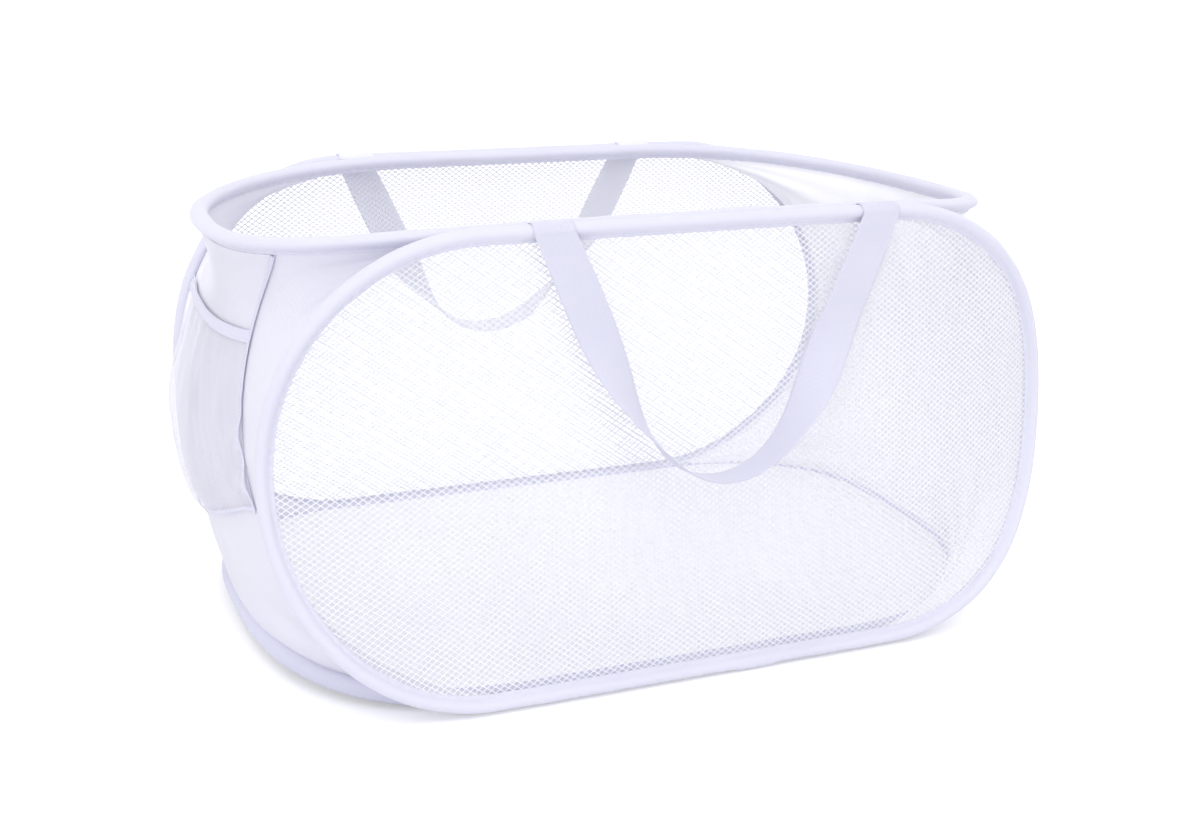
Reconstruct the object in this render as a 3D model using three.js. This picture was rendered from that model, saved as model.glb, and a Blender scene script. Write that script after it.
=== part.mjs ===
// Pop-up laundry hamper. Four closed hoops of spring wire in cloth sleeves carry two net sides, a cloth
// base and two cloth ends, with a mesh pocket on the left end and a webbing handle on each long side.
// Millimetres, +Z up. It stands on z = 0 about the origin, with its long sides facing -Y and +Y.

import * as THREE from 'three';

// Driving dimensions of the whole hamper
const overallLength = 610;
const panelHeight = 315;        // between the hoops of a long side, bottom run to top run
const topDepth = 360;           // between the front and back hoops at the rim
const baseDepth = 420;          // between the front and back hoops at the base
const baseShortfall = 10;       // the base hoop stops short of the others at each end

// Sleeves: an eight-sided cloth tube with a slit that takes the edge of its panel
const sleeveRadius = 7;
const sleeveWall = 0.9;
const slitWidth = 2;
const sleeveSides = 8;
const liningSides = 6;

// Spring wire and the crimped ferrule that closes each hoop
const wireRadius = 1.25;
const ferruleRadius = 2.6;
const ferruleLength = 24;
const wireSides = 5;
const ferruleSides = 10;
const ferruleFromMiddle = 40;

// Cloth, net and webbing
const clothThickness = 1;
const netThickness = 1;
const webbingWidth = 34;
const webbingThickness = 1.2;

// Clearances
const touchGap = 0.3;           // between two pieces that lie against each other
const layerGap = 0.5;           // between two layers of curved cloth
const seamGap = 0.6;            // between the sleeves that are sewn side by side

// Outlines of the hoops: a straight run, and ends of a rounder or squarer curve
const sideStraight = 150;       // half the straight run of a front or back hoop
const topStraight = 95;
const baseStraight = 123;
const sideRoundness = 2.114;    // exponent of the end curve, 2 is an ellipse
const topRoundness = 2.6;
const baseRoundness = 2.7;

// Warps of the sprung hoops, pulled by the cloth ends
const sideBow = 28;             // front and back hoops drawn in at the middle of their ends
const topDroop = 16;            // the rim's ends hang lower than its long sides
const baseLift = 12;            // the base hoop's ends stand off the floor

// Steps of the sweeps
const endSteps = 16;
const relaxRounds = 400;
const probeShare = 0.01;        // of a hoop's half width, the step that gives a surface's slope

// End cloths: how far the middle stands out from a film drawn taut between the hoops
const endFullness = 32;
const filmRiseShare = 0.295;    // middle rise of a square film, over its steps squared and its push
const cornerShare = 0.45;       // how far in from the outermost station a corner lies

// Handles
const handleSpacing = 246;      // between the middles of the two ends of a handle
const handleShift = 17;         // each handle sits off the middle, to its own left seen from inside
const handleDrop = 172;         // from the rim to the middle of the hanging loop
const handleHingeAngle = 130;   // degrees round the rim's tube, from the inside over the top
const anchorStartAngle = 64;
const handleLeaveAngle = 180;   // where the webbing leaves the tube and hangs
const legSteps = 15;
const wrapSteps = 4;
const anchorSteps = 5;
const handleRest = 3;           // how far the loop's inner edge hangs off the net
const legPullShares = [0.64, 0.6];
const loopPullShares = [0.42, 1];
const twistStartShare = 0.45;

// Openings of the nets: a lattice of diamonds
const cellWidth = 50;
const cellHeight = 36;
const strandWidth = 7;
const netMargin = 9;            // plain edge between the sleeve and the first openings

// Pocket on the left end: shares of the end cloth across it from front to back, and down it
const pocketAcrossShares = [0.29, 0.93];
const pocketDownShares = [0, 0.72];
const pocketMouthShare = 0.29;
const pocketThickness = 0.8;
const pouchBulge = 11;
const mouthSag = 22;            // the pouch's mouth hangs lower at its front
const hemWidth = 9;
const tapeWidth = 8;
const pouchRows = 6;

// Places worked out from the sizes above
const hoopHalfLength = overallLength / 2 - sleeveRadius;
const baseHalfLength = hoopHalfLength - baseShortfall;
const sleeveFlat = sleeveRadius * Math.cos(Math.PI / sleeveSides);
const sideFootHeight = sleeveRadius + seamGap / 4;
const baseFootHeight = sleeveFlat;
const rimHeight = sideFootHeight + panelHeight;
const sleevePitch = 2 * sleeveFlat + seamGap;
const liningRadius = sleeveFlat - sleeveWall;
const liningFlat = liningRadius * Math.cos(Math.PI / liningSides);
const wireSeat = liningFlat - touchGap - ferruleRadius;     // the wire bears on the side away from the slit
const webbingReach = sleeveRadius + touchGap + webbingThickness / 2;
const hingeGapAngle = THREE.MathUtils.radToDeg(touchGap / (2 * sleeveRadius));

const colours = {
  sleeve: { color: 0xe2e1f2, roughness: 0.55, metalness: 0 },
  baseSleeve: { color: 0xccd0e4, roughness: 0.55, metalness: 0 },
  net: { color: 0xf4f4fb, roughness: 0.8, metalness: 0 },
  cloth: { color: 0xf3f3fa, roughness: 0.5, metalness: 0 },
  base: { color: 0xe0e1f2, roughness: 0.6, metalness: 0 },
  mesh: { color: 0xe9e9f5, roughness: 0.75, metalness: 0 },
  webbing: { color: 0xdfdef0, roughness: 0.65, metalness: 0 },
  wire: { color: 0x8d9196, roughness: 0.35, metalness: 1 },
};

// Small helpers
const vec = (x, y, z) => new THREE.Vector3(x, y, z);
const mix = (a, b, share) => a + (b - a) * share;

/** Eases from 0 to 1 between two values. */
function ease(from, to, value) {
  return THREE.MathUtils.smoothstep(value, from, to);
}

/** A closed BufferGeometry from points and triangles. */
function solid(points, triangles) {
  const geometry = new THREE.BufferGeometry();
  const positions = new Float32Array(points.flatMap((p) => p.toArray()));
  geometry.setAttribute('position', new THREE.BufferAttribute(positions, 3));
  geometry.setIndex(triangles.flat());
  geometry.computeVertexNormals();
  return geometry;
}

/** Point on a hoop's outline: an angle of -90 to 90 degrees round one end, side is 1 right and -1 left. */
function outlinePoint(hoop, side, angle) {
  const across = Math.max(Math.cos(angle), 0) ** (2 / hoop.roundness);
  const up = Math.abs(Math.sin(angle)) ** (2 / hoop.roundness) * Math.sign(angle);
  const reach = hoop.halfLength - hoop.straight;
  return { x: side * (hoop.straight + reach * across), w: hoop.half * up };
}

/** Surface of a long side, at x along the hamper and w up from its middle. */
function sideSurface(facing) {
  return (x, w) => {
    const up = w / panelHeight + 1 / 2;
    const end = Math.abs(x / hoopHalfLength) ** 3;
    const middle = 1 - (2 * up - 1) ** 2;
    const depth = mix(baseDepth, topDepth, up) / 2 - sideBow * end * middle;
    return vec(x, facing * depth, sideFootHeight + panelHeight * up);
  };
}

/** Surface of the rim or base, at x along the hamper and w back from its middle. */
function levelSurface(height, straight, halfLength, endRise) {
  return (x, w) => {
    const out = Math.max(Math.abs(x) - straight, 0) / (halfLength - straight);
    return vec(x, w, height + endRise * out ** 2);
  };
}

const hoops = {
  front: {
    half: panelHeight / 2, straight: sideStraight, halfLength: hoopHalfLength,
    roundness: sideRoundness, surface: sideSurface(-1), slit: 'inward',
  },
  back: {
    half: panelHeight / 2, straight: sideStraight, halfLength: hoopHalfLength,
    roundness: sideRoundness, surface: sideSurface(1), slit: 'inward',
  },
  top: {
    half: topDepth / 2 - sleevePitch, straight: topStraight, halfLength: hoopHalfLength,
    roundness: topRoundness, slit: 'down',
    surface: levelSurface(rimHeight, topStraight, hoopHalfLength, -topDroop),
  },
  base: {
    half: baseDepth / 2 - sleevePitch, straight: baseStraight, halfLength: baseHalfLength,
    roundness: baseRoundness, slit: 'inward',
    surface: levelSurface(baseFootHeight, baseStraight, baseHalfLength, baseLift),
  },
};

/** Stations round a hoop, each with its place, direction of travel and direction towards the slit. */
function hoopStations(hoop) {
  const stations = [];
  for (const side of [1, -1]) {
    for (let i = 0; i <= endSteps; i += 1) {
      const angle = side * (i / endSteps - 1 / 2) * Math.PI;
      stations.push(station(hoop, side, angle, i === 0 || i === endSteps));
    }
  }
  return stations;
}

/** One station of a hoop. The ends of its straight runs head along the hamper. */
function station(hoop, side, angle, onStraight) {
  const at = ({ x, w }) => hoop.surface(x, w);
  const flat = outlinePoint(hoop, side, angle);
  const place = at(flat);
  const nudge = Math.PI / (8 * endSteps);
  const before = at(outlinePoint(hoop, side, angle - side * nudge));
  const after = at(outlinePoint(hoop, side, angle + side * nudge));
  const travel = onStraight ? vec(flat.w < 0 ? 1 : -1, 0, 0) : after.sub(before).normalize();
  const probe = hoop.half * probeShare;
  const along = hoop.surface(flat.x, flat.w - Math.sign(flat.w || 1) * probe).sub(place);
  const inward = onStraight ? along : hoop.surface(flat.x - side * probe, flat.w).sub(place);
  const face = surfaceNormal(hoop, flat);
  let toSlit = new THREE.Vector3().crossVectors(face, travel);
  if (toSlit.dot(inward) < 0) toSlit.negate();
  if (hoop.slit === 'down') toSlit = face.clone().multiplyScalar(-Math.sign(face.z));
  toSlit.addScaledVector(travel, -toSlit.dot(travel)).normalize();
  const across = new THREE.Vector3().crossVectors(travel, toSlit);
  return { place, travel, toSlit, across, flat };
}

/** Unit normal of a hoop's surface. */
function surfaceNormal(hoop, { x, w }) {
  const probe = hoop.half * probeShare;
  const alongX = hoop.surface(x + probe, w).sub(hoop.surface(x - probe, w));
  const alongW = hoop.surface(x, w + probe).sub(hoop.surface(x, w - probe));
  return alongX.cross(alongW).normalize();
}

/** Section of a sleeve, slit on its first axis: outer sides, then the lining back to the slit. */
function sleeveSection() {
  const points = [new THREE.Vector2(sleeveFlat, slitWidth / 2)];
  for (let i = 0; i < sleeveSides; i += 1) {
    const angle = ((i + 1 / 2) / sleeveSides) * 2 * Math.PI;
    points.push(new THREE.Vector2(sleeveRadius * Math.cos(angle), sleeveRadius * Math.sin(angle)));
  }
  points.push(new THREE.Vector2(sleeveFlat, -slitWidth / 2));
  points.push(new THREE.Vector2(liningFlat, -slitWidth / 2));
  for (let i = liningSides - 1; i >= 0; i -= 1) {
    const angle = ((i + 1 / 2) / liningSides) * 2 * Math.PI;
    points.push(new THREE.Vector2(liningRadius * Math.cos(angle), liningRadius * Math.sin(angle)));
  }
  points.push(new THREE.Vector2(liningFlat, slitWidth / 2));
  return points;
}

/** Section of the wire, at its seat in the sleeve. */
function wireSection() {
  return Array.from({ length: wireSides }, (_, i) => {
    const angle = (i / wireSides) * 2 * Math.PI;
    return new THREE.Vector2(wireRadius * Math.cos(angle) - wireSeat, wireRadius * Math.sin(angle));
  });
}

/** Closed tube with a section swept round the stations of a hoop. */
function sweepLoop(stations, section) {
  const points = stations.flatMap(({ place, toSlit, across }) => section.map((s) => (
    place.clone().addScaledVector(toSlit, s.x).addScaledVector(across, s.y))));
  const triangles = [];
  const sides = section.length;
  for (let i = 0; i < stations.length; i += 1) {
    const next = (i + 1) % stations.length;
    for (let j = 0; j < sides; j += 1) {
      const k = (j + 1) % sides;
      const [a, b, c, d] = [i * sides + j, next * sides + j, next * sides + k, i * sides + k];
      triangles.push([a, b, c], [a, c, d]);
    }
  }
  return solid(points, triangles);
}

/** Two-faced sheet from matching face points. Rims are walked with the material on their left. */
function sheet(front, back, faces, rims) {
  const count = front.length;
  const triangles = faces.flatMap(([a, b, c]) => [[a, b, c], [a + count, c + count, b + count]]);
  for (const rim of rims) {
    rim.forEach((a, i) => {
      const b = rim[(i + 1) % rim.length];
      triangles.push([a, a + count, b + count], [a, b + count, b]);
    });
  }
  return solid([...front, ...back], triangles);
}

/** Edge of a hoop's panel inside its slit, with the sheet's two faces. */
function panelRim(stations, thickness) {
  const middle = stations.map((s) => s.place.clone().addScaledVector(s.toSlit, liningRadius));
  const faces = [1, -1].map((turn) => (
    middle.map((p, i) => p.clone().addScaledVector(stations[i].across, turn * thickness / 2))));
  return { front: faces[0], back: faces[1] };
}

/** True where every corner of an opening lies inside the hoop's outline, clear of the plain edge. */
function insideOutline(hoop, x, w) {
  const reach = hoop.halfLength - hoop.straight;
  const room = sleeveRadius + netMargin;
  const out = Math.max(Math.abs(x) - hoop.straight, 0) / (reach - room);
  return out ** hoop.roundness + Math.abs(w / (hoop.half - room)) ** hoop.roundness < 1;
}

/** Diamond openings of a net, in the flat coordinates of its hoop. */
function netOpenings(hoop) {
  const halfWide = (cellWidth - strandWidth) / 2;
  const halfHigh = (cellHeight - strandWidth) / 2;
  const corners = [[halfWide, 0], [0, halfHigh], [-halfWide, 0], [0, -halfHigh]];
  const rows = Math.ceil(hoop.half / cellHeight) * 2;
  const columns = Math.ceil(hoopHalfLength / cellWidth);
  const openings = [];
  for (let row = -rows; row <= rows; row += 1) {
    for (let column = -columns; column <= columns; column += 1) {
      const x = (column + (row % 2 === 0 ? 0 : 1 / 2)) * cellWidth;
      const w = (row / 2) * cellHeight;
      const points = corners.map(([dx, dw]) => new THREE.Vector2(x + dx, w + dw));
      if (points.every((p) => insideOutline(hoop, p.x, p.y))) openings.push(points);
    }
  }
  return openings;
}

/** Net of a long side: its edge in the sleeve's slit, its diamonds open right through. */
function netSolid(hoop, stations) {
  const rim = panelRim(stations, netThickness);
  const flatRim = stations.map(({ flat }) => new THREE.Vector2(flat.x, flat.w));
  const openings = netOpenings(hoop);
  const faces = THREE.ShapeUtils.triangulateShape([...flatRim], openings.map((points) => [...points]));
  const holePoints = openings.flat();
  const halves = [1, -1].map((turn) => holePoints.map((p) => {
    const flat = { x: p.x, w: p.y };
    const normal = surfaceNormal(hoop, flat);
    const outward = normal.dot(stations[0].across) > 0 ? turn : -turn;
    return hoop.surface(flat.x, flat.w).addScaledVector(normal, outward * netThickness / 2);
  }));
  const rims = [flatRim.map((_, i) => i)];
  let first = flatRim.length;
  for (const opening of openings) {
    rims.push(opening.map((_, i) => first + opening.length - 1 - i));
    first += opening.length;
  }
  return outwardFacing(sheet([...rim.front, ...halves[0]], [...rim.back, ...halves[1]], faces, rims));
}

/** Base cloth: strips across the hamper between matching stations of its hoop. */
function basePanelSolid(stations) {
  const rim = panelRim(stations, clothThickness);
  const count = stations.length;
  const faces = [];
  const mirror = (i) => (count + endSteps - i) % count;
  for (let i = 0; i < count; i += 1) {
    const j = (i + 1) % count;
    const [a, b, c] = [i, j, mirror(j)];
    const fromTipToTip = i >= endSteps / 2 && i <= endSteps * 3 / 2;
    if (!fromTipToTip) continue;
    if (a !== mirror(i)) faces.push([a, b, mirror(i)]);
    if (b !== c) faces.push([b, c, mirror(i)]);
  }
  return outwardFacing(sheet(rim.front, rim.back, faces, [rim.front.map((_, i) => i)]));
}

/** Turns a closed solid's triangles round where they face inward. */
function outwardFacing(geometry) {
  const position = geometry.getAttribute('position');
  const index = geometry.getIndex();
  const corner = [vec(), vec(), vec()];
  let volume = 0;
  for (let i = 0; i < index.count; i += 3) {
    corner.forEach((c, k) => c.fromBufferAttribute(position, index.getX(i + k)));
    volume += corner[0].dot(corner[1].cross(corner[2]));
  }
  if (volume < 0) {
    const turned = Array.from(index.array);
    for (let i = 0; i < turned.length; i += 3) {
      [turned[i], turned[i + 1]] = [turned[i + 1], turned[i]];
    }
    geometry.setIndex(turned);
    geometry.computeVertexNormals();
  }
  return geometry;
}

/** Point just clear of a sleeve, on the side of it that looks towards another point. */
function besideSleeve({ place, travel }, towards, clear) {
  const out = towards.clone().sub(place);
  out.addScaledVector(travel, -out.dot(travel)).normalize();
  return place.clone().addScaledVector(out, clear);
}

/** Sleeves that an end cloth meets, station by station: rim, base, front and back. */
function endSleeves(side) {
  const stations = Array.from({ length: endSteps - 1 }, (_, i) => (i + 1) / endSteps);
  const along = (hoop, turn) => stations.map((share) => (
    station(hoop, side, turn * (share - 1 / 2) * Math.PI, false)));
  return {
    top: along(hoops.top, 1), base: along(hoops.base, 1),
    front: along(hoops.front, -1), back: along(hoops.back, -1),
  };
}

/** Corner of an end cloth, midway between two sleeves and a little in from their outermost stations. */
function clothCorner(first, second) {
  const inFrom = ([outer, inner]) => outer.place.clone().lerp(inner.place, cornerShare);
  return inFrom(first).lerp(inFrom(second), 1 / 2);
}

/**
 * Grid of an end cloth between the four hoops. Columns run from the front hoop to the back hoop and rows
 * from the rim to the base. Each inner point settles at the mean of its neighbours, pushed outward.
 */
function endGrid(side) {
  const { top, base, front, back } = endSleeves(side);
  const last = top.length - 1;
  const grid = top.map((_, row) => top.map((__, column) => {
    const level = top[column].place.clone().lerp(base[column].place, row / last);
    const upright = front[row].place.clone().lerp(back[row].place, column / last);
    return level.lerp(upright, 1 / 2);
  }));
  const push = side * endFullness / (filmRiseShare * last ** 2);
  const clear = sleeveRadius + touchGap + clothThickness / 2;
  for (let round = 0; round < relaxRounds; round += 1) {
    for (let i = 1; i < last; i += 1) {
      grid[0][i] = besideSleeve(top[i], grid[1][i], clear);
      grid[last][i] = besideSleeve(base[i], grid[last - 1][i], clear);
      grid[i][0] = besideSleeve(front[i], grid[i][1], clear);
      grid[i][last] = besideSleeve(back[i], grid[i][last - 1], clear);
    }
    for (let row = 1; row < last; row += 1) {
      for (let column = 1; column < last; column += 1) {
        const near = [grid[row - 1][column], grid[row + 1][column]];
        near.push(grid[row][column - 1], grid[row][column + 1]);
        const mean = near.reduce((sum, p) => sum.add(p), vec(0, 0, 0)).divideScalar(near.length);
        grid[row][column] = mean.add(vec(push, 0, 0));
      }
    }
  }
  const start = (sleeve) => [sleeve[0], sleeve[1]];
  const finish = (sleeve) => [sleeve[last], sleeve[last - 1]];
  grid[0][0] = clothCorner(start(top), start(front));
  grid[0][last] = clothCorner(finish(top), start(back));
  grid[last][0] = clothCorner(start(base), finish(front));
  grid[last][last] = clothCorner(finish(base), finish(back));
  return grid;
}

/** Unit normals of a grid of points. */
function gridNormals(grid) {
  const rows = grid.length - 1;
  const columns = grid[0].length - 1;
  return grid.map((line, r) => line.map((_, c) => {
    const down = grid[Math.min(r + 1, rows)][c].clone().sub(grid[Math.max(r - 1, 0)][c]);
    const across = line[Math.min(c + 1, columns)].clone().sub(line[Math.max(c - 1, 0)]);
    return down.cross(across).normalize();
  }));
}

/** Closed sheet of one thickness about a grid of points. */
function gridSheet(grid, thickness) {
  const normals = gridNormals(grid);
  const rows = grid.length;
  const columns = grid[0].length;
  const face = (turn) => grid.flatMap((line, r) => line.map((p, c) => (
    p.clone().addScaledVector(normals[r][c], turn * thickness / 2))));
  const faces = [];
  for (let r = 0; r < rows - 1; r += 1) {
    for (let c = 0; c < columns - 1; c += 1) {
      const upper = r * columns + c;
      const lower = upper + columns;
      faces.push([upper, upper + 1, lower + 1], [upper, lower + 1, lower]);
    }
  }
  const rim = [];
  for (let c = 0; c < columns - 1; c += 1) rim.push(c);
  for (let r = 0; r < rows - 1; r += 1) rim.push(r * columns + columns - 1);
  for (let c = columns - 1; c > 0; c -= 1) rim.push((rows - 1) * columns + c);
  for (let r = rows - 1; r > 0; r -= 1) rim.push(r * columns);
  return outwardFacing(sheet(face(1), face(-1), faces, [rim]));
}

/**
 * Patch that stands off an end cloth by a height given for each of its points. It follows the cloth's own
 * columns, and each row is given as a share down the cloth, which may differ from column to column.
 */
function patch(grid, columns, rows, stand) {
  const normals = gridNormals(grid);
  const last = grid.length - 1;
  return rows.map((down, r) => columns.map((column, c) => {
    const level = Math.min(Math.max(down(c), 0), 1) * last;
    const row = Math.min(Math.floor(level), last - 1);
    const at = (table) => table[row][column].clone().lerp(table[row + 1][column], level - row);
    const normal = at(normals).normalize();
    if (normal.x > 0) normal.negate();
    return at(grid).addScaledVector(normal, stand(c, r));
  }));
}

/** Whole numbers from one to another. */
function wholeNumbers(from, to) {
  return Array.from({ length: to - from + 1 }, (_, i) => from + i);
}

/** Strip of webbing along centres, each with the direction across the strip. */
function ribbon(centres, widthDirections, width, thickness) {
  const corners = [[1, 1], [-1, 1], [-1, -1], [1, -1]];
  const points = centres.flatMap((centre, i) => {
    const ahead = centres[Math.min(i + 1, centres.length - 1)];
    const behind = centres[Math.max(i - 1, 0)];
    const travel = ahead.clone().sub(behind).normalize();
    const across = widthDirections[i].clone().normalize();
    const through = new THREE.Vector3().crossVectors(travel, across).normalize();
    return corners.map(([a, b]) => centre.clone()
      .addScaledVector(across, a * width / 2)
      .addScaledVector(through, b * thickness / 2));
  });
  const sides = corners.length;
  const triangles = [[0, 1, 2], [0, 2, 3]];
  const end = (centres.length - 1) * sides;
  triangles.push([end, end + 2, end + 1], [end, end + 3, end + 2]);
  for (let i = 0; i < centres.length - 1; i += 1) {
    for (let j = 0; j < sides; j += 1) {
      const k = (j + 1) % sides;
      const [a, b, c, d] = [i * sides + j, (i + 1) * sides + j, (i + 1) * sides + k, i * sides + k];
      const onFirstFace = j < sides / 2;      // the two broad faces share the same diagonals
      triangles.push(...(onFirstFace ? [[a, b, c], [a, c, d]] : [[a, b, d], [b, c, d]]));
    }
  }
  return outwardFacing(solid(points, triangles));
}

/** Place on the webbing's way round the rim's tube, at degrees from the inside over the top. */
function roundRim(facing, x, degrees) {
  const angle = THREE.MathUtils.degToRad(degrees);
  const rim = hoops.front.surface(0, hoops.front.half);
  const y = facing * (Math.abs(rim.y) - webbingReach * Math.cos(angle));
  return vec(x, y, rim.z + webbingReach * Math.sin(angle));
}

/** Places round the rim's tube between two angles, both included. */
function wrapRound(facing, x, from, to, steps) {
  return Array.from({ length: steps + 1 }, (_, i) => roundRim(facing, x, mix(from, to, i / steps)));
}

/** End of a handle, sewn into the seam beside the rim's tube and led over the tube. */
function handleEnd(facing, end) {
  const x = -facing * handleShift + end * handleSpacing / 2;
  const centres = wrapRound(facing, x, anchorStartAngle, handleHingeAngle - hingeGapAngle, anchorSteps);
  return ribbon(centres, centres.map(() => vec(1, 0, 0)), webbingWidth, webbingThickness);
}

/** One leg of a handle: over the tube's outside and down to the bottom of the loop, twisted on the way. */
function handleLeg(facing, end) {
  const middle = -facing * handleShift;
  const halfSpan = handleSpacing / 2;
  const alongRim = vec(-end, 0, 0);
  const topEnd = middle + end * halfSpan;
  const wrapped = wrapRound(facing, topEnd, handleHingeAngle + hingeGapAngle, handleLeaveAngle, wrapSteps);
  const leg = wrapped.slice(0, -1).map((place) => ({ place, across: alongRim }));
  const curve = new THREE.CubicBezierCurve(
    new THREE.Vector2(1, 0), new THREE.Vector2(...legPullShares),
    new THREE.Vector2(...loopPullShares), new THREE.Vector2(0, 1));
  const hoop = facing < 0 ? hoops.front : hoops.back;
  const outward = surfaceNormal(hoop, { x: 0, w: 0 });
  if (outward.y * facing < 0) outward.negate();
  for (let i = 0; i <= legSteps; i += 1) {
    const { x: spread, y: fall } = curve.getPoint(i / legSteps);
    const slope = curve.getTangent(i / legSteps);
    const twist = ease(twistStartShare, 1, fall) * Math.PI / 2;
    const hanging = handleRest + webbingThickness + Math.sin(twist) * webbingWidth / 2;
    const stand = mix(webbingReach, hanging, ease(0, 1, fall));
    const place = hoop.surface(0, hoop.half - fall * handleDrop);
    place.x = middle + end * spread * halfSpan;
    place.y += outward.y * stand;
    const travel = vec(end * slope.x * halfSpan, 0, -slope.y * handleDrop);
    const square = new THREE.Vector3().crossVectors(outward, travel).normalize();
    if (square.x * end > 0) square.negate();
    const across = alongRim.clone().lerp(square, ease(0, 1 / 3, fall)).multiplyScalar(Math.cos(twist));
    leg.push({ place, across: across.addScaledVector(outward, -Math.sin(twist)) });
  }
  return leg;
}

/** Hanging loop of a handle: down one leg and up the other, lying flat at the bottom. */
function handleLoop(facing) {
  const loop = [...handleLeg(facing, -1), ...handleLeg(facing, 1).slice(0, -1).reverse()];
  return ribbon(loop.map((l) => l.place), loop.map((l) => l.across), webbingWidth, webbingThickness);
}

/** Crimped ferrule round the wire, on the straight run at the bottom or front of a hoop. */
function ferruleSolid() {
  const bore = wireRadius + touchGap;
  const half = ferruleLength / 2;
  const profile = [[bore, -half], [ferruleRadius, -half], [ferruleRadius, half], [bore, half]];
  const points = [...profile, profile[0]].map(([r, y]) => new THREE.Vector2(r, y));
  const geometry = new THREE.LatheGeometry(points, ferruleSides);
  return geometry.rotateZ(-Math.PI / 2);
}

const hamper = new THREE.Group();

/** Adds a named piece in its colour. */
function add(name, geometry, colour) {
  const piece = new THREE.Mesh(geometry, new THREE.MeshStandardMaterial(colour));
  piece.name = name;
  hamper.add(piece);
  return piece;
}

/** Hoops: wire, ferrule and sleeve. */
function addHoops() {
  for (const [name, hoop] of Object.entries(hoops)) {
    const stations = hoopStations(hoop);
    const sleeveColour = name === 'base' ? colours.baseSleeve : colours.sleeve;
    add(`${name}_sleeve`, outwardFacing(sweepLoop(stations, sleeveSection())), sleeveColour);
    add(`${name}_wire`, outwardFacing(sweepLoop(stations, wireSection())), colours.wire);
    const ferrule = add(`${name}_ferrule`, ferruleSolid(), colours.wire);
    const { place, toSlit } = stations[0];
    ferrule.position.copy(place).addScaledVector(toSlit, -wireSeat).setX(ferruleFromMiddle);
  }
}

/** Panels held by the hoops. */
function addPanels() {
  add('front_net', netSolid(hoops.front, hoopStations(hoops.front)), colours.net);
  add('back_net', netSolid(hoops.back, hoopStations(hoops.back)), colours.net);
  add('base_panel', basePanelSolid(hoopStations(hoops.base)), colours.base);
}

/** Cloth ends, and the mesh pocket on the left one. */
function addEnds() {
  add('right_end_panel', gridSheet(endGrid(1), clothThickness), colours.cloth);
  const grid = endGrid(-1);
  add('left_end_panel', gridSheet(grid, clothThickness), colours.cloth);
  addPocket(grid);
}

/** Pocket: a backing that lies on the end cloth, a bulging pouch, its hem, and the tape down its front. */
function addPocket(grid) {
  const last = grid.length - 1;
  const [fromColumn, toColumn] = pocketAcrossShares.map((share) => Math.round(share * last));
  const [topRow, bottomRow] = pocketDownShares.map((share) => Math.round(share * last));
  const columns = wholeNumbers(fromColumn, toColumn);
  const width = columns.length - 1;
  const underRim = 2 * layerGap / panelHeight;
  const level = (row) => () => Math.max(row / last, underRim);
  const backingStand = (clothThickness + pocketThickness) / 2 + layerGap;
  const backingRows = wholeNumbers(topRow, bottomRow).map(level);
  const backing = patch(grid, columns, backingRows, () => backingStand);
  add('pocket_backing', gridSheet(backing, pocketThickness), colours.mesh);

  const mouth = (c) => pocketMouthShare + mouthSag / panelHeight * (1 - c / width) ** 2;
  const underHem = (c) => mouth(c) + hemWidth / panelHeight;
  const belowHem = (share) => (c) => mix(underHem(c), bottomRow / last, share);
  const pouchDown = wholeNumbers(0, pouchRows).map((r) => belowHem(r / pouchRows));
  const seamStand = backingStand + pocketThickness + 3 * layerGap;
  const acrossBulge = (c) => pouchBulge * Math.sin(Math.PI * c / width);
  const downBulge = (r) => Math.cos(Math.PI / 2 * Math.max(r - 1, 0) / pouchRows);
  const pouchStand = (c, r) => seamStand + acrossBulge(c) * downBulge(r);
  const pouch = patch(grid, columns, [mouth, ...pouchDown], pouchStand);
  add('pocket_pouch', gridSheet(pouch, pocketThickness), colours.mesh);

  const bindingStand = pocketThickness + layerGap;
  const hem = patch(grid, columns, [mouth, underHem], (c) => pouchStand(c, 0) + bindingStand);
  add('pocket_hem', gridSheet(hem, pocketThickness), colours.webbing);

  const tapeStand = seamStand + 2 * bindingStand + 2 * layerGap;
  const tapeLine = patch(grid, [fromColumn], backingRows, () => tapeStand).flat();
  const towardsBack = tapeLine.map(() => vec(0, 1, 0));
  add('pocket_tape', ribbon(tapeLine, towardsBack, tapeWidth, pocketThickness), colours.webbing);
}

/** Webbing handles and their sewn ends. */
function addHandles() {
  for (const [name, facing] of [['front', -1], ['back', 1]]) {
    add(`${name}_handle`, handleLoop(facing), colours.webbing);
    add(`${name}_handle_end_left`, handleEnd(facing, -1), colours.webbing);
    add(`${name}_handle_end_right`, handleEnd(facing, 1), colours.webbing);
  }
}

addHoops();
addPanels();
addEnds();
addHandles();

// The middle of its box stands over the origin
const middle = new THREE.Box3().setFromObject(hamper).getCenter(vec(0, 0, 0)).setZ(0);
for (const piece of hamper.children) piece.position.sub(middle);

export default hamper;
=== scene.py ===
"""Pop-up laundry hamper: the sewn pieces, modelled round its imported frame."""

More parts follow.
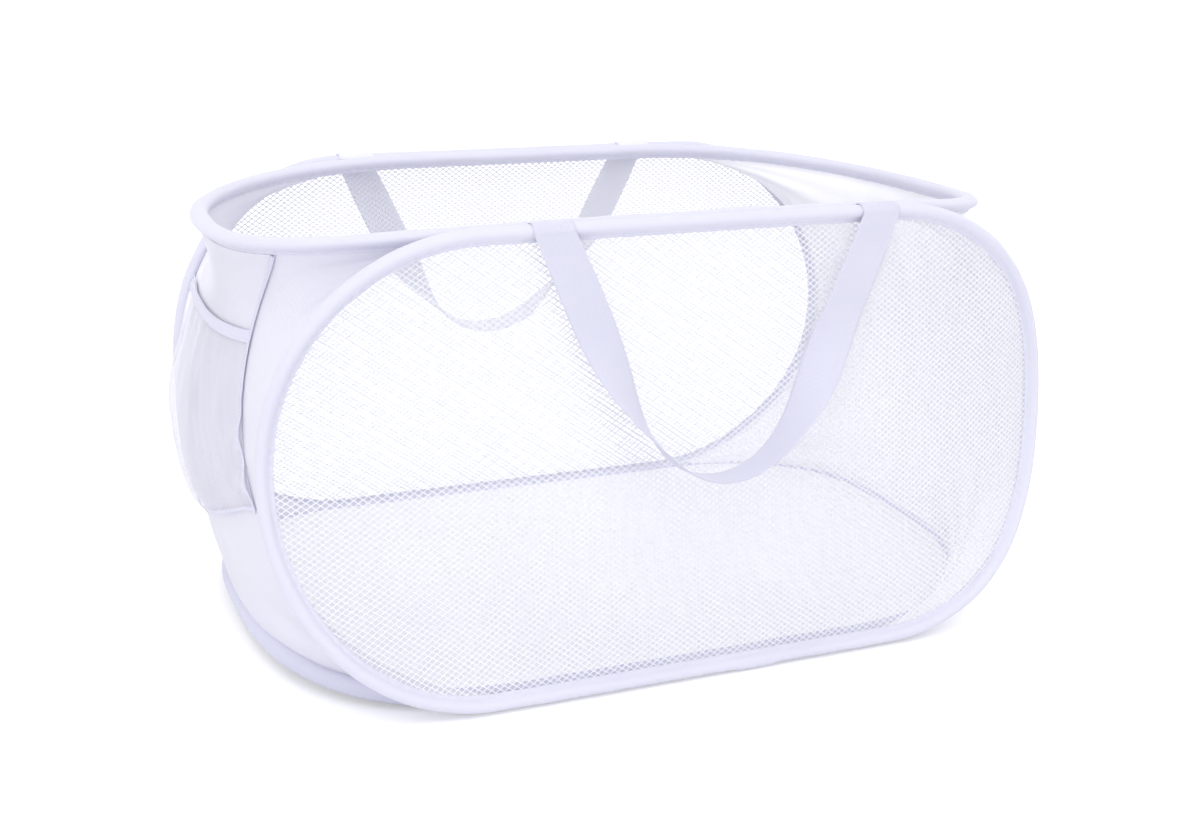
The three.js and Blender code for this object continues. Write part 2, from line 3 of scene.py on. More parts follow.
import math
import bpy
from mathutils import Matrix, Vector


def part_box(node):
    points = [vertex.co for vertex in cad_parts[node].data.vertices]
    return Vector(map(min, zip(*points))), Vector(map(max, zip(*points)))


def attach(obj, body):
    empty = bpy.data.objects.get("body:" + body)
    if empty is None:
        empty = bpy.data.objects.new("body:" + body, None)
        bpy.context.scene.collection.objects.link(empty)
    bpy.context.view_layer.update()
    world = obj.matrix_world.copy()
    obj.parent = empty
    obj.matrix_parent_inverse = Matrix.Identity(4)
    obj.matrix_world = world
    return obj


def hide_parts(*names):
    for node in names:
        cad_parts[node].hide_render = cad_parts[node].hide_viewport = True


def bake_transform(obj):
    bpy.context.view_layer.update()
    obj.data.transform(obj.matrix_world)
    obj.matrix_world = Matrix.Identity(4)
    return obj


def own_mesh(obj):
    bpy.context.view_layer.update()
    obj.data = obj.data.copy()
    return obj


bl_info = {
    "name": "Pop-up hamper",
    "version": (1, 0, 0),
    "blender": (4, 5, 0),
    "location": "View3D > Sidebar > Hamper",
    "description": "Models the sewn pieces of a pop-up laundry hamper round its frame",
    "category": "Add Mesh",
}

from functools import lru_cache

import bpy
import numpy as np
from bpy.props import FloatProperty, FloatVectorProperty, PointerProperty
from mathutils import Matrix, Vector

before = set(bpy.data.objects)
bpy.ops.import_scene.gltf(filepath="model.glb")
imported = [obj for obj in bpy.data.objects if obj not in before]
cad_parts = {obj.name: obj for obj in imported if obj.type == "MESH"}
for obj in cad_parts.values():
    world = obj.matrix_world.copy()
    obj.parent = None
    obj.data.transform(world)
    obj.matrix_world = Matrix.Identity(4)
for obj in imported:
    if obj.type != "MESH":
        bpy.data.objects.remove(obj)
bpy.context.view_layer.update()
UV_NAME = "cloth"

# The frame's sizes, in metres
HALF_LENGTH = 0.298  # from the middle to the outermost point of a hoop's centreline
PANEL_HEIGHT = 0.315
TOP_DEPTH = 0.360
BASE_DEPTH = 0.420
SIDE_BOW = 0.028  # how far a long side curves in at its two ends
FOOT_HEIGHT = 0.00715  # of the long sides' lowest centreline
SIDE_STRAIGHT, RIM_STRAIGHT, BASE_STRAIGHT = 0.150, 0.095, 0.123  # half a hoop's straight run
BASE_REACH, BASE_HEIGHT = 0.288, 0.006467
RIM_DROOP, BASE_LIFT = -0.016, 0.012  # rise of a hoop towards its two ends
# A sleeve's tube, from its centreline: away from its slit, towards it, and across
TUBE_OUT, TUBE_IN, TUBE_ACROSS = 0.0054, 0.0038, 0.0067
SLEEVE_PITCH = 0.013534  # between the centrelines of two sleeves sewn side by side
SLEEVE_LOW, SLEEVE_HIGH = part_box("front_sleeve")
SHIFT = (SLEEVE_LOW.x + SLEEVE_HIGH.x) / 2  # the middle of the hoops along the hamper
NET_MARGIN = TUBE_IN + 0.0014  # a panel's edge lies this far inside its hoop's centreline
CENTRE = np.array(0.0)
END_TURN = np.linspace(-np.pi / 2, np.pi / 2, 1600)  # angles round one end of a hoop
FLAT_STEP = 0.0015  # between the flat places that a surface's normal is taken from
FOLD_ANCHOR, FOLD_KEEP = (0, 0, 0.0106), 0.3


def linear(*levels):
    """Linear colour from display levels of 0 to 255."""
    return tuple(
        v / 12.92 if v <= 0.04045 else ((v + 0.055) / 1.055) ** 2.4
        for v in (level / 255 for level in levels)
    )


# Settings that a user may change


def length(name, description, default):
    return FloatProperty(
        name=name, description=description, default=default, min=0, precision=4,
        unit="LENGTH", subtype="DISTANCE",
    )


def colour(name, description, default):
    return FloatVectorProperty(
        name=name, description=description, default=default, size=3, min=0, max=1,
        subtype="COLOR",
    )


class HamperSleeves(bpy.types.PropertyGroup):
    """Cloth sleeves round the hoops."""

    flange: length("Flange", "How far the sewn edge reaches past the tube", 0.0029)
    pucker: length("Pucker", "Depth of the puckers along the seam", 0.00016)
    stitch: length("Stitch", "Pitch of the seam's stitches", 0.0032)
    cloth: colour("Cloth", "Colour of the sleeves", linear(225, 225, 238))
    # Painted shade: the base sleeve is the same cloth as the others, painted darker and bluer
    # because it lies low in shade.
    base_cloth: colour("Base cloth", "Colour of the base sleeve", linear(217, 218, 235))
    thread: colour("Thread", "Colour of the sewing thread", linear(232, 232, 246))


class HamperNets(bpy.types.PropertyGroup):
    """Nets of the long sides."""

    cell_width: length("Cell width", "Width of a diamond of the net", 0.0060)
    cell_height: length("Cell height", "Height of a diamond of the net", 0.0043)
    strand: length("Strand", "Width of a strand", 0.00080)
    yarn: colour("Yarn", "Colour of the net", linear(241, 242, 246))


class HamperCloths(bpy.types.PropertyGroup):
    """Cloth ends and base."""

    fullness: length("Fullness", "How far the middle of an end stands out", 0.040)
    fold: length("Fold", "Depth of the soft folds", 0.0022)
    thickness: length("Thickness", "Thickness of the cloth", 0.0006)
    # Painted light: the right end's satin is painted lighter than the left's, for the light
    # that comes through the cloth.
    right_satin_painted_light: colour(
        "Right satin", "Colour of the right end, which the light comes through",
        linear(252, 252, 255),
    )
    satin: colour("Satin", "Colour of the ends", linear(230, 230, 240))
    base: colour("Base", "Colour of the base cloth", linear(252, 252, 255))


class HamperPocket(bpy.types.PropertyGroup):
    """Mesh pocket on the left end."""

    cell_width: length("Cell width", "Width of an opening of the mesh", 0.0035)
    cell_height: length("Cell height", "Height of an opening of the mesh", 0.0026)
    strand: length("Strand", "Width of a strand of the mesh", 0.00070)
    bulge: length("Bulge", "How far the pouch stands out", 0.0120)
    hem: length("Hem", "Width of the hem at the mouth", 0.009)
    tape: length("Tape", "Width of the turned edge down the front", 0.0028)
    yarn: colour("Yarn", "Colour of the mesh", linear(247, 246, 255))
    # Painted light: a sheet behind the mesh, lighter than the end's satin, that brightens the
    # pocket.
    painted_light_lining: colour("Lining", "Colour of the cloth behind the mesh", linear(247, 246, 255))
    binding: colour("Binding", "Colour of the hem and turned edges", linear(222, 222, 238))


class HamperHandles(bpy.types.PropertyGroup):
    """Webbing handles."""

    width: length("Width", "Width of the webbing", 0.029)
    thickness: length("Thickness", "Thickness of the webbing", 0.0012)
    drop: length("Drop", "How far a handle hangs below the rim", 0.172)
    # Painted light: the back strap is the same webbing as the front one, painted lighter for
    # the light that comes through the nets and the strap.
    back_webbing_painted_light: colour(
        "Back webbing", "Colour of the back strap, seen through the nets", linear(240, 240, 250)
    )
    webbing: colour("Webbing", "Colour of the webbing", linear(216, 216, 231))


class HamperStage(bpy.types.PropertyGroup):
    """Floor, lamps and world."""

    floor: colour("Floor", "Colour of the floor", linear(250, 250, 252))
    key: FloatProperty(
        name="Key", description="Power of the large lamp above", default=20.5, min=0,
        unit="POWER",
    )
    sky: FloatProperty(
        name="Sky", description="Strength of the even light all round", default=0.87, min=0
    )


# Shape of the hoops


def unit(vectors):
    """Vectors of length one."""
    return vectors / np.linalg.norm(vectors, axis=-1, keepdims=True)


def point(x, y, z):
    """Points from their parts, moved to where the frame stands."""
    x, y, z = np.broadcast_arrays(x, y, z)
    return np.stack([x + SHIFT, y, z], -1)


def side_surface(facing):
    """Surface of a long side, at x along the hamper and w up from its middle."""

    def surface(x, w):
        up = w / PANEL_HEIGHT + 0.5
        bow = SIDE_BOW * np.abs(x / HALF_LENGTH) ** 3 * (1 - (2 * up - 1) ** 2)
        depth = (BASE_DEPTH + (TOP_DEPTH - BASE_DEPTH) * up) / 2 - bow
        return point(x, facing * depth, FOOT_HEIGHT + PANEL_HEIGHT * up)

    return surface


class Hoop:
    """Centreline of one sprung hoop, on the surface of the panel that it holds.

    half is half its size across, straight half its straight runs and reach half its length.
    roundness is the power of the curve at its ends, where 2 is an ellipse. The slit of its
    sleeve looks to its middle, or down with slit_down.
    """

    def __init__(self, half, straight, reach, roundness, surface, slit_down=False):
        self.half, self.straight, self.reach = half, straight, reach
        self.roundness, self.surface, self.slit_down = roundness, surface, slit_down

    def outline(self, side, angles):
        """Flat places on one end, at angles of a quarter turn each way."""
        across = np.maximum(np.cos(angles), 0) ** (2 / self.roundness)
        up = np.abs(np.sin(angles)) ** (2 / self.roundness) * np.sign(angles)
        return side * (self.straight + (self.reach - self.straight) * across), self.half * up

    def inside(self, x, w, margin):
        """True for flat places inside the outline by a margin."""
        out = np.maximum(np.abs(x) - self.straight, 0) / (self.reach - self.straight - margin)
        return out**self.roundness + np.abs(w / (self.half - margin)) ** self.roundness < 1

    def normal(self, x, w):
        """Unit normals of the surface."""
        along = self.surface(x + FLAT_STEP, w) - self.surface(x - FLAT_STEP, w)
        up = self.surface(x, w + FLAT_STEP) - self.surface(x, w - FLAT_STEP)
        return unit(np.cross(along, up))

    def turn(self, facing):
        """Sign that turns the normals of a long side outwards."""
        return np.sign(self.normal(CENTRE, CENTRE)[1]) * facing

    def frames(self, x, w, closed):
        """Place, travel, way to the slit and way across, at flat places in a row."""
        place = self.surface(x, w)
        if closed:
            travel = unit(np.roll(place, -1, 0) - np.roll(place, 1, 0))
        else:
            travel = unit(np.gradient(place, axis=0))
        face = self.normal(x, w)
        if self.slit_down:
            slit = -face * np.sign(face[:, 2:])
        else:
            slit = np.cross(face, travel)
            middle = self.surface(np.clip(x, -self.straight, self.straight) * 0.9, w * 0)
            slit *= np.sign(np.sum(slit * (middle - place), -1, keepdims=True))
        slit = unit(slit - travel * np.sum(slit * travel, -1, keepdims=True))
        return place, travel, slit, np.cross(travel, slit)

    def loop(self, spacing):
        """Frames all round the hoop, evenly spaced, and their flat places along the hamper."""
        right, left = self.outline(1, END_TURN), self.outline(-1, -END_TURN)
        x, w = (np.concatenate([right[i], left[i], right[i][:1]]) for i in (0, 1))
        x, w = evenly(self.surface, x, w, spacing=spacing)
        return (*self.frames(x[:-1], w[:-1], True), x[:-1])

    def end_run(self, side, corner_low, corner_high, count):
        """Frames along one end, from low w to high w, between two places on the long runs."""
        x, w = self.outline(side, END_TURN)
        for corner, sign in ((corner_low, -1), (corner_high, 1)):
            kept = (np.abs(x) > corner) | (w * sign < 0)
            x, w = x[kept], w[kept]
            if corner < self.straight:
                place = (0, 0) if sign < 0 else (len(x), len(x))
                x = np.insert(x, place[0], side * corner)
                w = np.insert(w, place[1], sign * self.half)
        x, w = evenly(self.surface, x, w, count=count)
        return self.frames(x, w, False)


def run_lengths(points):
    """Distance travelled at each of a row of points."""
    return np.concatenate([[0], np.cumsum(np.linalg.norm(np.diff(points, axis=0), axis=1))])


def evenly(surface, x, w, spacing=None, count=None):
    """Flat places spaced evenly by their distance along the surface."""
    along = run_lengths(surface(x, w))
    count = count or round(along[-1] / spacing) + 1
    at = np.linspace(0, along[-1], count)
    return np.interp(at, along, x), np.interp(at, along, w)


def level_surface(height, straight, reach, end_rise):
    """Surface of the rim or base, at x along the hamper and w back from its middle."""

    def surface(x, w):
        out = np.maximum(np.abs(x) - straight, 0) / (reach - straight)
        return point(x, w, height + end_rise * out**2)

    return surface


RIM_HEIGHT = FOOT_HEIGHT + PANEL_HEIGHT
HOOPS = {
    "front": Hoop(PANEL_HEIGHT / 2, SIDE_STRAIGHT, HALF_LENGTH, 2.114, side_surface(-1)),
    "back": Hoop(PANEL_HEIGHT / 2, SIDE_STRAIGHT, HALF_LENGTH, 2.114, side_surface(1)),
    "top": Hoop(
        TOP_DEPTH / 2 - SLEEVE_PITCH, RIM_STRAIGHT, HALF_LENGTH, 2.6,
        level_surface(RIM_HEIGHT, RIM_STRAIGHT, HALF_LENGTH, RIM_DROOP), slit_down=True,
    ),
    "base": Hoop(
        BASE_DEPTH / 2 - SLEEVE_PITCH, BASE_STRAIGHT, BASE_REACH, 2.7,
        level_surface(BASE_HEIGHT, BASE_STRAIGHT, BASE_REACH, BASE_LIFT),
    ),
}
BODIES = {"front": "front_panel", "back": "back_panel", "top": "top_rim", "base": "base"}


# Meshes


def ringed(points):
    """A row of points that ends where it starts."""
    return np.vstack([points, points[:1]])


def swept(centres, first, second, section, closed=False):
    """Part swept along centres: its points, faces and a UV for each face corner, in metres."""
    count, sides = len(centres), section.shape[-2]
    section = np.broadcast_to(section, (count, sides, 2))
    points = centres[:, None] + section[..., :1] * first[:, None]
    points = points + section[..., 1:] * second[:, None]
    steps = np.arange(count if closed else count - 1)
    i, j = np.meshgrid(steps, np.arange(sides), indexing="ij")
    n, k = (i + 1) % count, (j + 1) % sides
    quads = np.stack([i * sides + j, n * sides + j, n * sides + k, i * sides + k], -1)
    along, around = run_lengths(ringed(centres)), run_lengths(ringed(section[0]))
    corners = [(i, j), (i + 1, j), (i + 1, j + 1), (i, j + 1)]
    uvs = np.stack([np.stack([along[a], around[b]], -1) for a, b in corners], -2)
    faces, uvs = quads.reshape(-1, 4).tolist(), uvs.reshape(-1, 2)
    quad_count = len(faces)
    if not closed:
        last = (count - 1) * sides
        faces += [list(range(sides)), list(range(last + sides - 1, last - 1, -1))]
        uvs = np.vstack([uvs, np.zeros((2 * sides, 2))])
    return outward(points.reshape(-1, 3), faces, uvs, quad_count)


def outward(points, faces, uvs, quad_count):
    """The part with its faces turned outwards, judged by the volume that its quads enclose."""
    a, b, c, d = (points[[f[i] for f in faces[:quad_count]]] for i in range(4))
    middle = points.mean(0)
    volume = sum(
        np.sum((p - middle) * np.cross(q - middle, r - middle))
        for p, q, r in ((a, b, c), (a, c, d))
    )
    if volume >= 0:
        return points, faces, uvs
    turned, at = [], 0
    order = np.empty(len(uvs), int)
    for face in faces:
        turned.append(face[::-1])
        order[at : at + len(face)] = np.arange(at + len(face) - 1, at - 1, -1)
        at += len(face)
    return points, turned, uvs[order]


def sheet_part(grid, normals, thickness, metres):
    """Closed sheet of one thickness about a grid of points.

    metres is its size across and down, for its UVs.
    """
    rows, columns = grid.shape[:2]
    front = (grid + normals * thickness / 2).reshape(-1, 3)
    back = (grid - normals * thickness / 2).reshape(-1, 3)
    r, c = np.meshgrid(np.arange(rows - 1), np.arange(columns - 1), indexing="ij")
    corner = [(r, c), (r + 1, c), (r + 1, c + 1), (r, c + 1)]
    face = np.stack([a * columns + b for a, b in corner], -1).reshape(-1, 4)
    flat = [
        np.stack([b / (columns - 1) * metres[0], a / (rows - 1) * metres[1]], -1)
        for a, b in corner
    ]
    flat = np.stack(flat, -2).reshape(-1, 4, 2)
    edge = np.concatenate([
        np.arange(rows - 1) * columns,
        (rows - 1) * columns + np.arange(columns - 1),
        (np.arange(rows - 1, 0, -1) + 1) * columns - 1,
        np.arange(columns - 1, 0, -1),
    ])
    nxt, count = np.roll(edge, -1), rows * columns
    rim = np.stack([edge, edge + count, nxt + count, nxt], -1)
    faces = np.vstack([face, face[:, ::-1] + count, rim])
    uvs = np.vstack([flat, flat[:, ::-1], np.zeros((len(rim), 4, 2))])
    return outward(np.vstack([front, back]), faces.tolist(), uvs.reshape(-1, 2), len(faces))


def joined(parts):
    """Several parts as one."""
    points, faces, uvs, start = [], [], [], 0
    for p, f, u in parts:
        points.append(p)
        faces += [[i + start for i in face] for face in f]
        uvs.append(u)
        start += len(p)
    return np.vstack(points), faces, np.vstack(uvs)


def make_piece(name, part, material, slot, body=None, crease=None):
    """A new object at the origin from a part. It rides on body, where one is given."""
    points, faces, uvs = part
    mesh = bpy.data.meshes.new(name)
    mesh.from_pydata(points.tolist(), [], faces)
    mesh.uv_layers.new(name=UV_NAME).data.foreach_set("uv", uvs.astype(np.float32).ravel())
    mesh.materials.append(material)
    piece = bpy.data.objects.new(name, mesh)
    bpy.context.scene.collection.objects.link(piece)
    bpy.ops.object.select_all(action="DESELECT")
    bpy.context.view_layer.objects.active = piece
    piece.select_set(True)
    if crease:
        bpy.ops.object.shade_smooth_by_angle(angle=math.radians(crease))
    else:
        bpy.ops.object.shade_smooth()
    piece.select_set(False)
    if body:
        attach(piece, body)
    return piece


def ripple(at, total, counts, seed):
    """Smooth waves of height about one that close on themselves over a total length."""
    draw = np.random.default_rng(seed)
    waves = [np.sin(2 * np.pi * (n * at / total + draw.random())) for n in counts]
    return sum(waves) / math.sqrt(len(waves))


def smooth(low, high, value):
    """Eases from 0 to 1 between two values."""
    share = np.clip((value - low) / (high - low), 0, 1)
    return share * share * (3 - 2 * share)


def faded(low, high, value):
    """Eases from 1 to 0 between two values."""
    return 1 - smooth(low, high, value)


def band_section(width, thickness, columns, edge=0.0002):
    """Section of a flat band whose woven edges are a little thicker, with rounded corners."""
    across = np.linspace(-1, 1, columns)
    half = thickness / 2 + edge * np.abs(across) ** 6
    half[[0, -1]] *= 0.62
    upper = np.stack([across * width / 2, half], -1)
    lower = np.stack([across[::-1] * width / 2, -half[::-1]], -1)
    tips = [[width / 2 + thickness * 0.3, 0]], [[-width / 2 - thickness * 0.3, 0]]
    return np.vstack([upper, tips[0], lower, tips[1]])


STITCH_SHARE = 0.72  # of a stitch's pitch that its thread takes up


def row_of_stitches(place, travel, raised, pitch, radius):
    """Short capsule stitches end to end along a line of points, all copies of one form."""
    bpy.ops.object.select_all(action="DESELECT")
    bpy.ops.mesh.primitive_uv_sphere_add(segments=5, ring_count=3, radius=1)
    form = bpy.context.object
    shape = np.array([v.co[:] for v in form.data.vertices])
    shape *= radius, radius, pitch * STITCH_SHARE / 2
    sides = [list(p.vertices) for p in form.data.polygons]
    bpy.data.objects.remove(form)
    along = run_lengths(place)
    count = max(round(along[-1] / pitch), 2)
    at = (np.arange(count) + 0.5) * along[-1] / count

    def pick(values):
        return np.stack([np.interp(at, along, values[:, i]) for i in range(3)], -1)

    middle, way, up = pick(place), unit(pick(travel)), unit(pick(raised))
    side = unit(np.cross(way, up))
    points = middle[:, None] + shape[None, :, :1] * side[:, None]
    points = points + shape[None, :, 1:2] * up[:, None] + shape[None, :, 2:] * way[:, None]
    faces = [[i + k * len(shape) for i in face] for k in range(count) for face in sides]
    uvs = np.zeros((sum(len(f) for f in faces), 2))
    return points.reshape(-1, 3), faces, uvs


# Materials


class Nodes:
    """A node tree, and helpers that add nodes to it."""

    def __init__(self, tree):
        self.tree = tree

    def node(self, kind, **values):
        """A node, with values for its own settings."""
        made = self.tree.nodes.new(kind)
        for key, value in values.items():
            setattr(made, key, value)
        return made

    def feed(self, target, value):
        """Links an output, or sets a number, on an input."""
        if isinstance(value, bpy.types.NodeSocket):
            self.tree.links.new(value, target)
        else:
            target.default_value = value

    def math(self, operation, first, second):
        """A Math node's output."""
        made = self.node("ShaderNodeMath", operation=operation)
        self.feed(made.inputs[0], first)
        self.feed(made.inputs[1], second)
        return made.outputs[0]

    def glowing(self, shader, strength):
        """A shader with white light added that only the camera, mirrors and glass see."""
        rays = self.node("ShaderNodeLightPath").outputs
        seen = self.math("MAXIMUM", rays["Is Camera Ray"], rays["Is Glossy Ray"])
        seen = self.math("MAXIMUM", seen, rays["Is Transmission Ray"])
        glow = self.node("ShaderNodeEmission")
        self.feed(glow.inputs["Strength"], self.math("MULTIPLY", seen, strength))
        both = self.node("ShaderNodeAddShader")
        self.feed(both.inputs[0], shader)
        self.feed(both.inputs[1], glow.outputs[0])
        return both.outputs[0]


class Finish(Nodes):
    """A node material round one Principled shader.

    Its bands are read from the piece's own UV map, or from object coordinates where uv is off.
    """

    def __init__(self, name, shades, uv=True, **constants):
        self.material = bpy.data.materials.new(name)
        self.material.use_nodes = True
        super().__init__(self.material.node_tree)
        self.shader = self.tree.nodes["Principled BSDF"]
        for socket, value in constants.items():
            self.shader.inputs[socket.replace("_", " ")].default_value = value
        self.shades = shades
        self.object_place = self.node("ShaderNodeTexCoord").outputs["Object"]
        if uv:
            self.place = self.node("ShaderNodeUVMap", uv_map=UV_NAME).outputs["UV"]
        else:
            self.place = self.object_place

    def over(self, first, share, second):
        """A share of the first value, added to the second."""
        return self.math("ADD", self.math("MULTIPLY", first, share), second)

    def noise(self, scale, detail):
        """Noise of that scale, 0 to 1."""
        made = self.node("ShaderNodeTexNoise")
        self.feed(made.inputs["Vector"], self.object_place)
        made.inputs["Scale"].default_value = scale
        made.inputs["Detail"].default_value = detail
        return made.outputs["Fac"]

    def bands(self, pitch, direction, wobble):
        """Bands of that pitch in metres across one direction of the pattern, a little wavy."""
        made = self.node("ShaderNodeTexWave", bands_direction=direction)
        self.feed(made.inputs["Vector"], self.place)
        made.inputs["Scale"].default_value = math.pi / 10 / pitch
        made.inputs["Distortion"].default_value = wobble
        made.inputs["Detail Scale"].default_value = 0.4
        return made.outputs["Fac"]

    def tint(self, value, low, high):
        """Colours the shader from the darker colour to the lighter one by a value. On cloth the
        darker colour is painted shade in the hollows, mixed with mottling; on steel it is the
        tone of the oil film.
        """
        ramp = self.node("ShaderNodeValToRGB")
        ramp.color_ramp.elements[0].position = low
        ramp.color_ramp.elements[1].position = high
        for element, shade in zip(ramp.color_ramp.elements, self.shades):
            element.color = (*shade, 1)
        self.feed(ramp.inputs["Fac"], value)
        self.feed(self.shader.inputs["Base Color"], ramp.outputs["Color"])

    def relief(self, height, strength, depth):
        """Bump from a height of 0 to 1."""
        bump = self.node("ShaderNodeBump")
        bump.inputs["Strength"].default_value = strength
        bump.inputs["Distance"].default_value = depth
        self.feed(bump.inputs["Height"], height)
        self.feed(self.shader.inputs["Normal"], bump.outputs["Normal"])

    def rough(self, value, low, high):
        """Roughness from low to high by a value of 0 to 1."""
        made = self.node("ShaderNodeMapRange")
        self.feed(made.inputs["Value"], value)
        made.inputs["To Min"].default_value = low
        made.inputs["To Max"].default_value = high
        self.feed(self.shader.inputs["Roughness"], made.outputs["Result"])


def painted_shade_and_mottle_pair(base, deep):
    """The darker colour, a little bluer, and the colour itself. The darker one is painted shade
    in a cloth's hollows, and also the dark end of its mottling.
    """
    blue = deep + (1 - deep) * 0.35
    return tuple(c * d for c, d in zip(base, (deep, deep, blue))), tuple(base)


def woven_finish(name, base, pitch, depth, rough=(0.55, 0.72), sheen=0.25):
    """Plain woven cloth: warp and weft that pass over each other, with soft mottling."""
    finish = Finish(name, painted_shade_and_mottle_pair(base, 0.93), Sheen_Weight=sheen, Sheen_Roughness=0.45)
    warp, weft = finish.bands(pitch, "X", 0.6), finish.bands(pitch, "Y", 0.6)
    threads = finish.math("MULTIPLY", warp, weft)
    cloudy = finish.noise(9, 4)
    # Painted shade: darker and bluer where warp and weft dip under each other, mixed with soft
    # mottling of the cloth's own tone.
    finish.tint(finish.over(threads, 0.35, finish.math("MULTIPLY", cloudy, 0.9)), 0.2, 0.85)
    finish.relief(finish.over(finish.noise(260, 2), 0.6, threads), 0.45, depth)
    finish.rough(cloudy, *rough)
    return finish.material


def satin_finish(name, base):
    """Satin weave of the ends: long floats down the cloth and a soft silky light."""
    finish = Finish(
        name, painted_shade_and_mottle_pair(base, 0.95), Sheen_Weight=0.35, Sheen_Roughness=0.3,
        Anisotropic=0.35, Specular_IOR_Level=0.42,
    )
    warp, weft = finish.bands(0.0005, "X", 1.2), finish.bands(0.0022, "DIAGONAL", 0.8)
    floats = finish.math("MULTIPLY", warp, weft)
    # Painted shade: darker and bluer between the floats, mixed with mottling of the satin's own
    # tone.
    finish.tint(finish.over(floats, 0.2, finish.noise(7, 4)), 0.25, 0.8)
    finish.relief(finish.over(finish.noise(38, 3), 2.2, floats), 0.3, 0.0004)
    finish.rough(finish.noise(22, 2), 0.34, 0.5)
    return finish.material


def yarn_finish(name, base, twist, sheen=0.2):
    """Twisted yarn: slanting plies along each strand, and lint that mottles it."""
    finish = Finish(name, painted_shade_and_mottle_pair(base, 0.94), Sheen_Weight=sheen, Sheen_Roughness=0.5)
    plies = finish.bands(twist, "DIAGONAL", 0.8)
    cloudy = finish.noise(14, 3)
    # Painted shade: darker and bluer between the plies, mixed with the lint's mottling.
    finish.tint(finish.over(plies, 0.3, cloudy), 0.3, 0.9)
    finish.relief(plies, 0.5, 0.00012)
    finish.rough(cloudy, 0.5, 0.7)
    return finish.material


def webbing_finish(name, base):
    """Ribbed webbing: ribs down its length, crossed by fine weft."""
    finish = Finish(name, painted_shade_and_mottle_pair(base, 0.93), Sheen_Weight=0.2, Sheen_Roughness=0.5)
    ribs, weft = finish.bands(0.0016, "Y", 0.5), finish.bands(0.0009, "X", 0.7)
    twill = finish.bands(0.0024, "DIAGONAL", 0.6)
    woven = finish.over(twill, 0.35, finish.math("MULTIPLY", ribs, weft))
    cloudy = finish.noise(16, 3)
    # Painted shade: darker and bluer where ribs and weft dip, mixed with mottling of the
    # webbing's own tone.
    finish.tint(finish.over(woven, 0.3, cloudy), 0.3, 0.95)
    finish.relief(woven, 0.55, 0.0003)
    finish.rough(cloudy, 0.52, 0.7)
    return finish.material


def steel_finish(name):
    """Bare spring steel: drawn scratches, and a light film of oil."""
    shades = linear(128, 132, 138), linear(176, 180, 186)
    finish = Finish(name, shades, uv=False, Metallic=1.0, Anisotropic=0.4)
    drawn = finish.bands(0.0007, "Z", 4.0)
    film = finish.noise(45, 4)
    finish.tint(film, 0.3, 0.7)
    finish.relief(drawn, 0.25, 0.00008)
    finish.rough(film, 0.24, 0.44)
    return finish.material


# Sleeves


THREAD_RADIUS = 0.00026
THREAD_INSET = 0.0013  # from the flange's edge to its stitches
FLANGE_HALF = 0.00088  # half the thickness of the two layers sewn together
FLANGE_EDGE = ((-0.0006, 0.0008), (0, 0.00045))  # past the flange's tip, and half height
FLANGE_WAVES = 0.00010  # unevenness of its edge
# Depths of the tube's slow swelling, of the gathers by its seam and of its twist
TUBE_SWELL, TUBE_GATHERS, TUBE_TWIST = 0.00016, 0.00022, 0.00009
SLEEVE_STEP = 0.0021  # between a sleeve's sections
FLOOR_CLEAR = 0.0002  # a sleeve's skin lies at least this high
# The pinched throat between tube and flange: past the tube's end, and half height
THROAT = ((-0.0001, 0.0017), (0.0004, 0.0011), (0.0012, FLANGE_HALF))
# The rim's sleeve overlaps itself in a cuff: its middle, half length and share thicker
CUFF_MIDDLE, CUFF_HALF, CUFF_SWELL = (0.2048, 0.1546, 0.318), 0.011, 0.05
FERRULE_SWELL = 0.0009


def sleeve_sections(hoop, frames, settings, seed):
    """A section for each frame: a puffed tube, a pinched throat and a flat sewn flange."""
    place, x = frames[0], frames[4]
    count = len(place)
    spacing = np.linalg.norm(place[1] - place[0])
    at = np.arange(count) * spacing

    def waves(step, *counts):
        """Waves along the sleeve, so many of each kind round the hoop."""
        return ripple(at, spacing * count, counts, seed + step)[:, None]

    turn = np.radians(np.linspace(24, 336, 24))
    tube = np.stack([
        (TUBE_IN - TUBE_OUT + (TUBE_IN + TUBE_OUT) * np.cos(turn)) / 2,
        TUBE_ACROSS * np.sin(turn),
    ], -1)
    throat = np.array(THROAT) + (TUBE_IN, 0)
    tip = TUBE_IN + settings.flange
    edge = np.array(FLANGE_EDGE) + (tip, 0)
    upper = np.vstack([edge[::-1], throat[::-1]])
    whole = np.vstack([upper, tube, upper[::-1] * (1, -1)])
    section = np.broadcast_to(whole, (count, *whole.shape)).copy()
    on_tube = np.zeros(len(whole))
    on_tube[len(upper) : len(upper) + len(tube)] = 1

    curved = smooth(hoop.straight, hoop.straight + 0.05, np.abs(x))[:, None]
    angle = np.arctan2(section[..., 1], section[..., 0])
    inner = np.clip(np.cos(angle), 0, 1)
    drawn = waves(1, 140, 171, 203) * (0.35 + 0.65 * curved)
    rolled = np.sin(3 * angle + 2.0 * waves(2, 19, 27))
    swell = TUBE_SWELL * waves(0, 7, 13, 22, 31) + TUBE_GATHERS * drawn * inner
    swell = swell + TUBE_TWIST * rolled
    section += unit(section) * (swell * on_tube)[..., None]
    pucker = settings.pucker * waves(3, 151, 187, 232) * (1 + 0.5 * curved)
    section[..., 1] += pucker * (1 - on_tube)
    section[:, [0, -1], 0] += FLANGE_WAVES * waves(4, 61, 88, 120)
    return section


